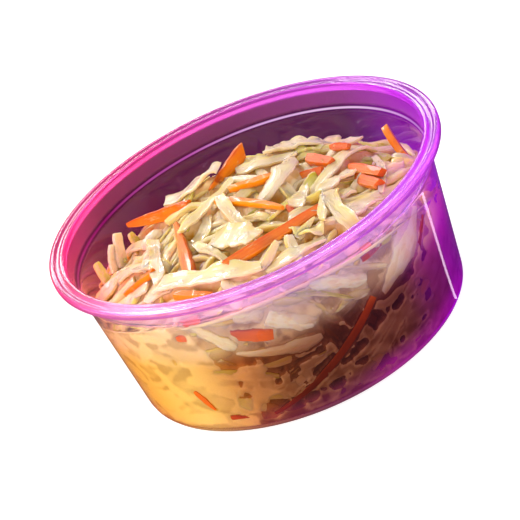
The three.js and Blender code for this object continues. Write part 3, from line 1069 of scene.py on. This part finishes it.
# The pieces on top that give this heap its face: first the shreds that lie between, then
# carrot sticks, then the leaves and shreds that lie over all.
for line, width, tone, fade, ends in (
    (from_to(-17, 11, -7, 23), 3.0, 0.4, 0.2, (0.85, 0.75)),
    (from_to(1, 13, 19, 10, 0.02), 3.4, 0.7, 0.2, (0.95, 0.65)),
    (from_to(-41, -1, -26, -17), 4.6, 0.6, -0.3, (0.95, 0.95)),
    (from_to(-44, 26, -31, 7), 4.4, 0.5, 0.3, (0.85, 0.95)),
    (from_to(-29, 4, -33, -13, -0.02), 2.4, 0.8, 0.0, (0.75, 0.65)),
    (from_to(-19, -7, -12, 3), 2.8, 0.3, 0.3, (0.85, 0.65)),
    (from_to(25, 6, 34, 6), 4.4, 0.9, 0.0, (0.85, 0.85)),
    (from_to(18, 14, 26, 11), 3.4, 0.4, 0.3, (0.75, 0.85)),
    (from_to(-36, -23, -22, -31, 0.03), 5.4, 0.8, 0.1, (0.95, 0.75)),
    (from_to(20, -37, 33, -26, -0.02), 4.8, 0.8, -0.2, (0.75, 0.95)),
    (from_to(-3, -45, 15, -42, 0.02), 4.6, 0.5, 0.2, (0.85, 0.65)),
    (from_to(-5, -43, 3, -33, -0.05), 3.0, 0.5, -0.3, (0.75, 0.75)),
    (from_to(39, 4, 36, -27, -0.02), 2.2, 0.9, 0.1, (0.75, 0.65)),
    (from_to(20, -26, 28, -20, 0.03), 3.2, 0.7, 0.0, (0.65, 0.85)),
    (from_to(-43, -17, -34, -20), 4.8, 0.9, 0.0, (0.85, 0.95)),
):
    lay(heap_bed, white if tone > 0.45 else green, line, width, 1.0, shred_section, limp=0.04,
        cup=0.25, tone=tone, fade=fade, phase=width * 3, ends=ends, slant=0.3, ruffle=0.08,
        crown=ceiling(line, 1.0))

for line, width, thick, tone, ends in (
    (from_to(-41, -13, -31, -19), 2.8, 1.7, 0.5, (0.5, 0.7)),
    (from_to(-3, 1, 14, -4, 0.01), 2.9, 1.7, 0.9, (0.6, 0.8)),
    (from_to(-28, -36, -19, -42), 3.0, 1.8, 0.6, (0.6, 0.8)),
    (from_to(-7, -1, 9, -22.5, -0.01), 2.8, 1.6, 0.8, (0.7, 0.3)),
):
    lay(heap_bed, carrots, line, width, thick, stick_section, stiff=True, tone=tone, ends=ends,
        slant=0.4, crown=ceiling(line, 1.3))


def propped(bed, batch, foot, tip, across, width, thick, section, tone, ends, bow=0.0, slant=0.0):
    """A piece that others hold up, from foot to tip, its width turned along across."""
    foot, tip, across = (np.array(v, float) for v in (foot, tip, across))
    t = np.linspace(-1, 1, 26)
    run = (tip - foot) / np.linalg.norm(tip - foot)
    across = across - run * (across @ run)
    across /= np.linalg.norm(across)
    face = np.cross(run, across)
    half = width / 2 * (1 + 0.06 * np.sin(4 * t + width) + 0.03 * np.sin(11 * t + tone * 9))
    half = narrowed(half, t, ends)
    path = foot + (tip - foot) * ((t + 1) / 2)[:, None] + face * (bow * (1 - t * t))[:, None]
    slanted = across + run * slant * (np.abs(t) ** 5 * np.sign(t))[:, None]
    points = (
        path[:, None]
        + slanted[:, None] * (half[:, None] * section[None, :, 0])[..., None]
        + face * (thick / 2 * section[None, :, 1] * np.ones_like(t)[:, None])[..., None]
    )
    batch.add_strip(points, section, np.full(len(t), tone))
    dense = foot + (tip - foot) * np.linspace(0, 1, 120)[:, None, None]
    dense = dense + across * (width / 2 * np.linspace(-1, 1, 16))[None, :, None]
    bed.cover(dense[..., 0], dense[..., 1], dense[..., 2] + thick / 2, dense[..., 2] - thick / 2)


for foot, tip, across, width, thick, tone, ends, bow, slant in (
    ((-33.6, 20.9, 42.0), (-15.5, 7.2, 45.4), (0, 0.5, 0.8), 4.6, 2.2, 0.45, (0.3, 0.9), 0.3, 0.3),
    ((-8, 9.5, 46.8), (5, 21, 47.9), (0, 0.5, 0.8), 4.6, 1.8, 0.6, (0.12, 0.95), 0.4, 0.7),
    ((-12, -37, 46.3), (18.8, -28.0, 46.0), (0, 0.8, 0.6), 3.5, 2.4, 0.35, (0.95, 0.35), -0.5, 0.4),
    ((-22.2, -28.5, 44.0), (-20.3, -1.5, 46.2), (1, 0, 0.35), 3.8, 2.2, 0.4, (0.85, 0.3), 0.3, 0.3),
    ((28.0, -8, 41.0), (34.2, -23.5, 42.4), (0.8, 0.4, 0.4), 3.6, 2.4, 0.2, (0.6, 0.8), 0.0, 0.4),
    ((30.0, -8, 43.2), (36.6, -19.5, 43.4), (0.6, 0.4, 0.6), 3.0, 2.2, 0.3, (0.5, 0.7), 0.2, 0.4),
    ((20.6, 3, 45.8), (26.0, -5, 45.4), (0.6, 0.4, 0.2), 3.4, 2.2, 0.15, (0.8, 0.6), 0.0, 0.3),
    ((15.5, -3, 44.3), (22.5, -6, 44.8), (0, 0.7, 0.6), 3.2, 2.0, 0.3, (0.6, 0.7), 0.0, 0.3),
    ((28.0, 6, 44.6), (32.4, 1, 45.0), (0.3, 0.5, 0.6), 2.4, 1.6, 0.1, (0.5, 0.7), 0.0, 0.3),
):
    propped(heap_bed, carrots, foot, tip, across, width, thick, stick_section, tone, ends, bow, slant)

for line, width, cup, lifts, tone, ends in (
    (from_to(-21, 20, -3, 13), 7.0, 0.4, (3.5, 1.0), 1.1, (0.92, 0.82)),
    (from_to(11, 16, 25, 19), 7.5, 0.9, (1.5, 3.0), 1.1, (0.82, 0.92)),
    (from_to(23, 14.5, 37, 19), 4.0, 0.4, (0, 2.5), 1.1, (0.82, 0.92)),
    (from_to(16, -17, 39, 8), 3.8, 0.3, (0, 0), 0.6, (0.62, 0.95)),
    (from_to(20, -21, 21.5, -43, 0.03), 4.8, 0.4, (0.5, 0), 0.35, (0.82, 0.72)),
    (from_to(-30.5, -24, -28.5, 3), 3.6, 0.3, (0, 1.0), 0.7, (0.95, 0.95)),
    (from_to(-31, -27, -4, -45, 0.01), 6.0, 0.5, (0, 0), 0.4, (0.92, 0.62)),
    (from_to(-13, -17, -2, -31), 8.0, 0.5, (0, 0), 0.55, (0.92, 0.95)),
    (from_to(-20, -8, -1, 9, -0.01), 3.0, 0.2, (0, 0), 0.3, (0.72, 0.72)),
    (from_to(-18.3, -14.2, -11.5, -32.9), 2.6, 0.2, (0, 0), 0.4, (0.62, 0.62)),
    (from_to(-7, -3, -3, -21, 0.02), 3.4, 0.5, (0.5, 0), 0.6, (0.82, 0.72)),
    (from_to(19, -19, 30, -11), 4.2, 0.3, (0, 0.5), 0.8, (0.82, 0.92)),
    (from_to(16, -36, 19, -24), 2.6, 0.2, (0, 0.5), 0.3, (0.72, 0.3)),
    (from_to(11.5, -23, 16.5, -12), 4.6, 0.5, (0, 1.0), 0.7, (0.82, 0.3)),
    (from_to(5, -13, 18.5, 4, 0.06), 6.0, -0.7, (0, 1.0), 0.9, (0.72, 0.72)),
):
    lay(heap_bed, leaves, line, width, 1.0, shred_section, limp=0.05, cup=cup, ruffle=0.12,
        lifts=lifts, tone=tone, fade=0.2 * np.sin(width * 5), phase=width, ends=ends,
        slant=0.6 * np.sin(width * 9), crown=ceiling(line, 2.0 + max(lifts)))

# Ends that stand up: four at the left, two at the front, and a carrot stick at the right.
for batch, foot, tip, width, thick, across, tone, ends, bow in (
    (green, (-44.5, 6, 32), (-46.4, 11, 40.0), 3.0, 1.4, (0.8, 0.6, 0), 0.5, (0.9, 0.5), 0.5),
    (white, (-39.8, 9, 36), (-37.4, 14, 44.4), 3.2, 1.4, (0.8, 0.6, 0), 0.7, (0.9, 0.7), 0.4),
    (white, (-42.6, 8, 36), (-40.2, 12, 42.8), 2.2, 1.2, (0.8, 0.6, 0), 0.9, (0.9, 0.5), 0.5),
    (green, (-33.4, 17, 37), (-34.4, 19, 40.4), 2.4, 1.2, (0.8, 0.6, 0), 0.3, (0.9, 0.5), 0.3),
    (leaves, (7.8, -36.5, 44.6), (14.4, -32.5, 46.2), 2.6, 1.0, (0.2, 0.8, 0.6), 0.4, (0.9, 0.15), 0.3),
    (leaves, (-3.8, -43, 44.2), (2.6, -38.5, 47.4), 2.4, 1.0, (0.4, 0.5, 0.5), 0.7, (0.7, 0.6), 0.6),
    (carrots, (47.2, -2, 32), (44.4, 8.5, 42.4), 3.6, 2.0, (0, 1, 0.2), 0.5, (0.9, 0.4), 0.6),
):
    section = stick_section if batch is carrots else shred_section
    propped(heap_bed, batch, foot, tip, across, width, thick, section, tone, ends, bow)


def heap_hollow(points):
    """How far below the heap's own top a point is, from 0 to 1: the depth of its painted shade."""
    return np.clip((heap_bed.at(points[:, 0], points[:, 1]) - points[:, 2] - 0.8) / 3.5, 0, 0.8)


gold_shade = linear(246, 222, 88)
cabbage_heart = dressed(
    "cabbage_heart", deep=linear(234, 208, 132), pale=linear(246, 217, 190), dressing=cream,
    shadow=gold_shade, smear=0.5, bump=0.5,
)
cabbage_outer = dressed(
    "cabbage_outer", deep=linear(204, 196, 72), pale=linear(236, 220, 152), dressing=cream,
    shadow=gold_shade, smear=0.5, bump=0.5,
)
carrot_flesh = dressed(
    "carrot_flesh", deep=linear(228, 92, 0), pale=linear(250, 146, 6),
    dressing=linear(252, 196, 126), shadow=linear(150, 50, 6), smear=0.42, bump=0.8, see_in=0.25,
)

set_in_tub(white.piece("shreds_white", in_tub, heap_hollow), cabbage_heart)
set_in_tub(green.piece("shreds_green", in_tub, heap_hollow), cabbage_outer)
set_in_tub(leaves.piece("leaves", in_tub, heap_hollow), cabbage_heart)
set_in_tub(carrots.piece("carrots", in_tub, heap_hollow, crisp=50), carrot_flesh)

# ---------------------------------------------------------------- dressing
# A thick emulsion that coats everything and fills the gaps: one closed body under the shreds,
# smeared on the wall, with air pockets left low down, and a finer sheet between those on top.
def reaching(field, cells, pick):
    """The lowest or highest value (pick) within so many cells each way."""
    out = field
    for axis in (0, 1):
        base = out
        for step in range(-cells, cells + 1):
            out = pick(out, np.roll(base, step, axis))
    return out


def softened(field, times):
    """The field with its steps smoothed away."""
    for _ in range(times):
        field = (np.roll(field, 1, 0) + 2 * field + np.roll(field, -1, 0)) / 4
        field = (np.roll(field, 1, 1) + 2 * field + np.roll(field, -1, 1)) / 4
    return field


def smears(shape, knots, rng):
    """A smooth random field over a bed, from about -1 to 1, that joins up along x."""
    rough = rng.normal(0, 0.55, knots)
    rough = np.vstack([rough, rough[:1]])

    def eased(count, spans, closed):
        t = np.linspace(0, spans, count, endpoint=not closed)
        return np.floor(t) + (t % 1) ** 2 * (3 - 2 * (t % 1))

    along = eased(shape[0], knots[0], True)
    up = eased(shape[1], knots[1] - 1, False)
    tall = np.stack([np.interp(up, np.arange(knots[1]), row) for row in rough])
    return np.stack([np.interp(along, np.arange(knots[0] + 1), column) for column in tall.T]).T


film_top = 25.5  # how high the film on the wall reaches, more or less
pooled_to = 4.5  # below this height it lies all round
deepest_pocket = 4.5
first_pocket = 4  # no air pocket lies lower

film_rng = np.random.default_rng(3)
wall_x, wall_z = wall_bed.grid()
compass = compass_of(wall_x)
from_left = turn_from(clings_at, compass)


def wall_smears(*knots):
    """Random smears on the unrolled wall, from so many knots round it and up it."""
    return smears(wall_bed.size, knots, film_rng)


def heap_smears(knots):
    """Random smears over the heap, from so many knots each way."""
    return smears(heap_bed.size, (knots, knots), film_rng)


# Where the film lies on the wall: in patches low down, and all the way up at the left. It
# leaves the striking pieces bare, and frays over the long carrot stick.
patches = wall_smears(40, 8) + 0.5 * wall_smears(110, 16)
patches += 0.35 * wall_smears(260, 36)
at_left = np.clip((34 - from_left) / 8, 0, 1)
reach_up = film_top + 3.5 * wall_smears(60, 2)
covered = np.clip(patches * 2.5 + 1.6 + 2 * at_left, 0, 1)
covered *= np.clip((reach_up - wall_z) / 2 + 9 * at_left, 0, 1)
bare = on_show & (wall_z > np.where(long_carrot, 12, 5))
covered = np.where(bare, 0, covered)
fray = wall_smears(200, 30)
inner_part = reaching(long_carrot.astype(float), 1, np.minimum) > 0.5
covered = np.where((inner_part & (fray < 0.5)) | (long_carrot & (fray < -0.2)), 0, covered)
covered = np.maximum(covered, np.clip((pooled_to - wall_z) / 1.5, 0, 1))

# Air pockets, where the slaw behind stands well back from the plastic.
open_gaps = np.minimum(wall_bed.first, deepest_pocket)
behind = softened(reaching(reaching(open_gaps, 1, np.minimum), 1, np.maximum), 1)
ragged = 0.9 * np.minimum(patches, 0.4) + 0.45 * wall_smears(300, 44)
pockets = np.clip((behind - 1.5 - 2.5 * at_left + ragged) * 4, 0, 1)
pockets *= np.clip((wall_z - first_pocket) / 2, 0, 1)
pockets *= np.clip((from_left - 40) / 8, 0, 1)
quiet = np.clip((52 - np.abs(compass)) / 8, 0, 1)  # hardly anything shows in the violet part
pockets *= 1 - 0.8 * quiet
covered = np.maximum(covered, quiet * np.clip((36 - wall_z) / 4, 0, 1))
covered = np.where(bare, 0, covered)

# How deep the dressing's face lies. Above the film it fills in between the shreds.
lying_on = (0.12 - 0.3 * covered) * (1 - pockets) + behind * pockets
filling = np.maximum(0.35, 0.4 + 0.55 * behind + 0.25 * fray)
film = softened(lying_on * covered + filling * (1 - covered), 1)

# How dark it looks, as painted shade: shreds show dimly through the film as painted shade, air pockets and
# the low part are painted darker, a pocket has a painted pale lip, and a shred's edge is painted pale where
# it meets the plastic.
ghosts = np.clip((softened(open_gaps, 2) - 0.2) / 2.2, 0, 1)
lips = reaching(pockets, 2, np.maximum) * (1 - pockets) * covered
steepness = np.hypot(*np.gradient(softened(np.minimum(open_gaps, 2.5), 1)))
outlines = np.clip(steepness * 1.6 - 0.2, 0, 1) * covered * (1 - at_left)
dim = painted_low_shade(wall_x, wall_z) + 0.1 * (1 - covered) * np.clip((39 - wall_z) / 4, 0, 1)
ghosts *= (0.4 + 0.6 * covered) * (1 - 0.6 * quiet)
pocket_shade = pockets * behind / 1.6 * (0.4 + 0.6 * covered)
film_shade = np.clip(pocket_shade + 0.5 * ghosts + dim - 0.08, 0, 1)
pale_marks = 0.18 * lips + (0.45 - 0.35 * quiet) * outlines
film_shade = film_shade + 0.2 * wall_smears(150, 22) * (1 - at_left) * (1 - 0.5 * quiet) - pale_marks
film_shade = np.clip(film_shade, 0, darkest(wall_z))

# The body: rings up the wall, then over the top to the middle.
columns = 640
side_rows = 86
top_rows = 12
core_floor = floor_height - 0.1
side_foot = floor_height + 0.2
angles = np.arange(columns) * 2 * np.pi / columns
side_top = contact_height(angles)
share_up = np.linspace(0, 1, side_rows)[:, None]
side_z = side_foot + (side_top[None] - floor_height - 0.2) * share_up
side_cells = wall_bed.cells(np.broadcast_to(angles * wall_radius, side_z.shape), side_z)
side_r = inner_radius(side_z) + sunk - 0.1 - film[side_cells]
inward = np.linspace(1, 0, top_rows)[1:-1, None]
top_r = (side_r[-1][None] - 1.5) * inward
top_z = side_top[None] * inward ** 2 + (contact_side + 4) * (1 - inward ** 2) - 3
core_r = np.vstack([side_r[:1] - 1, side_r, top_r])
core_z = np.vstack([np.full((1, columns), core_floor), side_z, top_z])
rings = np.stack([core_r * np.cos(angles), core_r * np.sin(angles), core_z], -1).reshape(-1, 3)
core_points = np.vstack([rings, (0, 0, core_floor), (0, 0, contact_side + 1)])
core_faces = ring_faces(len(core_r), columns, len(rings), len(rings) + 1)
dressing_below = add_piece("dressing_below", core_points, core_faces)
# Painted shade for the body: the film's painted shade on the wall, and an even painted shade over its top,
# which lies deep under the shreds.
painted_shade_below = np.concatenate([
    np.zeros(columns), film_shade[side_cells].ravel(), np.full(top_z.size, 0.25), (0, 0.25)
])

# Over the body, a finer sheet of dressing fills most of the gaps between the shreds on top.
# Its grid is squeezed from a square to a disk that reaches the wall.
across_disk = 176
u, v = np.meshgrid(*[np.linspace(-1, 1, across_disk)] * 2, indexing="ij")
disk_x, disk_y = u * np.sqrt(1 - v * v / 2), v * np.sqrt(1 - u * u / 2)
disk_angle = np.arctan2(disk_y, disk_x)
disk_r = np.hypot(disk_x, disk_y) * (inner_radius(contact_height(disk_angle)) + 0.1)
disk_x, disk_y = disk_r * np.cos(disk_angle), disk_r * np.sin(disk_angle)

# How high it stands: most gaps are filled nearly to the pieces round them, some less.
tops = np.minimum(heap_bed.height, heap_top(*heap_grid) + 3)
filled_up = reaching(reaching(tops, 5, np.maximum), 5, np.minimum)
low_spots = reaching(tops, 2, np.minimum) + 0.5
fullness = np.clip(0.75 + 0.6 * heap_smears(22), 0, 1)
sheet_level = softened(tops, 14) - 1.2 + 0.6 * heap_smears(30)
sheet = np.minimum(low_spots + np.maximum(filled_up - low_spots, 0) * fullness - 0.5, sheet_level)
sheet = softened(sheet, 1) + 0.35 * heap_smears(64)
disk_cells = heap_bed.cells(disk_x, disk_y)
disk_z = sheet[disk_cells]
shoulder = heap_top(disk_x, disk_y) - 1.6 - 0.5 * np.clip(heap_radius - disk_r, 0, 5)
disk_z = np.where(disk_r > 46, np.clip(disk_z, shoulder - 1.5, shoulder + 0.8), disk_z)
disk_z = np.where(disk_r > heap_radius - 1.2, shoulder, disk_z)
# Painted shade, darker where the sheet lies deeper below the pieces round it.
painted_shade_above = np.clip((filled_up[disk_cells] - disk_z - 0.9) / 3, 0, 1)

# The sheet is closed by a skirt round its edge and a point below.
last = across_disk - 1
sheet_edge = [(row, 0) for row in range(last)] + [(last, row) for row in range(last)]
sheet_edge += [(last - row, last) for row in range(last)] + [(0, last - row) for row in range(last)]
edge_index = np.array([row * across_disk + column for row, column in sheet_edge])
top_points = np.stack([disk_x, disk_y, disk_z], -1).reshape(-1, 3)
rows, row_cells = (index.ravel() for index in np.meshgrid(*[np.arange(last)] * 2, indexing="ij"))
corner = rows * across_disk + row_cells
sheet_faces = np.stack([corner, corner + across_disk, corner + across_disk + 1, corner + 1], -1).tolist()
skirt = top_points[edge_index] * (0.93, 0.93, 1) - (0, 0, 4)
below = len(top_points) + np.arange(len(skirt))
beside = np.roll(np.arange(len(skirt)), -1)
sheet_faces += np.stack([edge_index[beside], edge_index, below, below[beside]], -1).tolist()
bottom = len(top_points) + len(skirt)
sheet_faces += [(int(below[n]), bottom, int(below[beside[n]])) for n in range(len(skirt))]
sheet_points = np.vstack([top_points, skirt, (0, 0, contact_side - 4)])
dressing_above = add_piece("dressing_above", sheet_points, sheet_faces)
painted_shade_above = np.concatenate([painted_shade_above.ravel(), np.zeros(len(skirt) + 1)])

for piece, values in ((dressing_below, painted_shade_below), (dressing_above, painted_shade_above)):
    for label, field in (("tone", np.full(len(values), 0.5)), ("hollow", values)):
        attribute = piece.data.attributes.new(label, "FLOAT", "POINT")
        attribute.data.foreach_set("value", field.astype(np.float32))

sauce = dressed(
    "dressing_sauce", deep=linear(232, 206, 146), pale=linear(240, 220, 182), dressing=cream,
    shadow=linear(132, 78, 34), smear=0.55, bump=0.4,
)
pooled = dressed(
    "dressing_pooled", deep=linear(230, 206, 112), pale=linear(244, 221, 176), dressing=cream,
    shadow=linear(220, 178, 52), smear=0.55, bump=0.4,
)
set_in_tub(dressing_below, sauce)
set_in_tub(dressing_above, pooled)

# ---------------------------------------------------------------- studio
# A pale floor, an even pale surround and soft lamps: the key behind at the left, a strip and
# a sparkle behind, and low fills all round. The floor is bright where it is seen and darker
# where it only throws light.
floor_half = 3.0
floor_corners = [(-1, -1), (1, -1), (1, 1), (-1, 1)]
floor_mesh = bpy.data.meshes.new("floor")
floor_mesh.from_pydata([(x * floor_half, y * floor_half, 0) for x, y in floor_corners], [], [(0, 1, 2, 3)])
studio_floor = bpy.data.objects.new("floor", floor_mesh)
bpy.context.scene.collection.objects.link(studio_floor)
floor_material, floor_tree, floor_shader = new_material("floor_paint")
floor_shader.inputs["Base Color"].default_value = (0.02, 0.02, 0.02, 1)
floor_shader.inputs["Roughness"].default_value = 0.9
lit_floor = floor_tree.nodes.new("ShaderNodeBsdfPrincipled")
lit_floor.inputs["Base Color"].default_value = (0.5, 0.5, 0.5, 1)
lit_floor.inputs["Roughness"].default_value = 0.9
lit_floor.inputs["Emission Color"].default_value = (1, 1, 1, 1)
lit_floor.inputs["Emission Strength"].default_value = 0.8
light_path = floor_tree.nodes.new("ShaderNodeLightPath")
seen = floor_tree.nodes.new("ShaderNodeMixShader")
floor_tree.links.new(light_path.outputs["Is Camera Ray"], seen.inputs[0])
floor_tree.links.new(floor_shader.outputs[0], seen.inputs[1])
floor_tree.links.new(lit_floor.outputs[0], seen.inputs[2])
floor_tree.links.new(seen.outputs[0], floor_tree.nodes["Material Output"].inputs["Surface"])
floor_mesh.materials.append(floor_material)

surround = bpy.data.worlds.new("surround")
surround.use_nodes = True
sky_tree = surround.node_tree
upwards = sky_tree.nodes.new("ShaderNodeVectorMath")
upwards.operation = "DOT_PRODUCT"
upwards.inputs[1].default_value = (-0.12, 0.25, 0.96)  # overhead, and somewhat behind
sky_tree.links.new(sky_tree.nodes.new("ShaderNodeTexCoord").outputs["Generated"], upwards.inputs[0])
sky = sky_tree.nodes["Background"]
sky.inputs["Color"].default_value = (0.98, 0.95, 0.77, 1)
overhead = between(sky_tree, upwards.outputs["Value"], 0.35, 1.0, 0.0, 1.18)
sky_tree.links.new(overhead, sky.inputs["Strength"])
bpy.context.scene.world = surround


def lamp(name, place, aim, size, watts, colour=(1, 1, 1)):
    """A soft lamp at a place, aimed at another. The camera doesn't see it."""
    light = bpy.data.lights.new(name, "AREA")
    light.shape = "RECTANGLE"
    light.size, light.size_y = size
    light.energy = watts
    light.color = colour
    holder = bpy.data.objects.new(name, light)
    holder.location = place
    holder.rotation_euler = (Vector(aim) - Vector(place)).to_track_quat("-Z", "Y").to_euler()
    holder.visible_camera = False
    bpy.context.scene.collection.objects.link(holder)
    return holder


lamp("key", (-0.35, 0.32, 0.55), (0, 0, 0.03), (0.20, 0.20), 1.9, (0.96, 0.79, 0.93))
lamp("back_strip", (0, 0.9, 0.46), (0, 0, 0.04), (0.7, 0.03), 0.9)
lamp("sparkle", (-0.14, 0.58, 0.50), (0, 0, 0.04), (0.09, 0.09), 1.0)
for fill in (
    lamp("fill_left", (-0.55, -0.05, 0.12), (-0.03, -0.01, 0.02), (0.25, 0.25), 2.5, (1.0, 0.94, 0.8)),
    lamp("fill_right", (0.55, 0.05, 0.10), (0.03, -0.01, 0.02), (0.2, 0.2), 1.1, (1.0, 0.82, 1.0)),
    lamp("fill_front", (-0.10, -0.55, 0.62), (0, -0.02, 0.03), (0.3, 0.3), 0.45, (1.0, 0.90, 0.66)),
    lamp("fill_low", (0.0, -0.6, 0.14), (0, 0, 0.03), (0.3, 0.2), 2.5, (1.0, 0.92, 0.88)),
    lamp("fill_back", (0.12, 0.6, 0.20), (0, 0, 0.045), (0.2, 0.2), 0.9, (1.0, 0.72, 0.95)),
):
    fill.visible_glossy = fill.visible_transmission = False

# A thin light on the table at the right draws the bright line down the wall. It is a ribbon
# through (x, y, half width).
strip_line = (
    (43.2, -25.4, 0.35),
    (50.5, -20.9, 0.6),
    (66.3, -11.9, 1.1),
    (83.6, -3.1, 1.8),
    (95.1, 2.3, 2.2),
)
strip_across = (0.46, -0.89)
strip_height = 0.3
strip_points = [
    (x + side * w * strip_across[0], y + side * w * strip_across[1], strip_height)
    for x, y, w in strip_line
    for side in (-1, 1)
]
strip_faces = [(i, i + 1, i + 3, i + 2) for i in range(0, 2 * len(strip_line) - 2, 2)]
table_strip = add_piece("table_strip", strip_points, strip_faces)
strip_material, _, strip_shader = new_material("lit_strip")
strip_shader.inputs["Emission Color"].default_value = (1, 0.8, 1, 1)
strip_shader.inputs["Emission Strength"].default_value = 2.8
table_strip.data.materials.append(strip_material)
table_strip.visible_camera = False

# The camera looks down on the front of the tub from a little under thirty degrees, and is
# rolled so that the tub seems to lean over to the left.
elevation = radians(27.3)
roll = radians(24.64)
distance = 10 * tub_high.x
aim_right = -0.00338  # where the view's middle lies, from the tub's
aim_up = -0.00092

tub_middle = Vector((0, 0, tub_high.z / 2))
backward = Vector((0, -cos(elevation), sin(elevation)))
level = Vector((1, 0, 0))
upward = backward.cross(level)
view_right = cos(roll) * level - sin(roll) * upward
view_up = sin(roll) * level + cos(roll) * upward

camera = bpy.data.objects.new("camera", bpy.data.cameras.new("camera"))
camera.data.sensor_width = 36
camera.data.lens = 142.6
camera.data.clip_start = 0.01
camera_place = tub_middle + backward * distance + view_right * aim_right + view_up * aim_up
camera_turn = Matrix((view_right, view_up, backward)).transposed()
camera.matrix_world = Matrix.Translation(camera_place) @ camera_turn.to_4x4()
bpy.context.scene.collection.objects.link(camera)
bpy.context.scene.camera = camera

view = bpy.context.scene.view_settings
view.view_transform = "Standard"
view.look = "None"
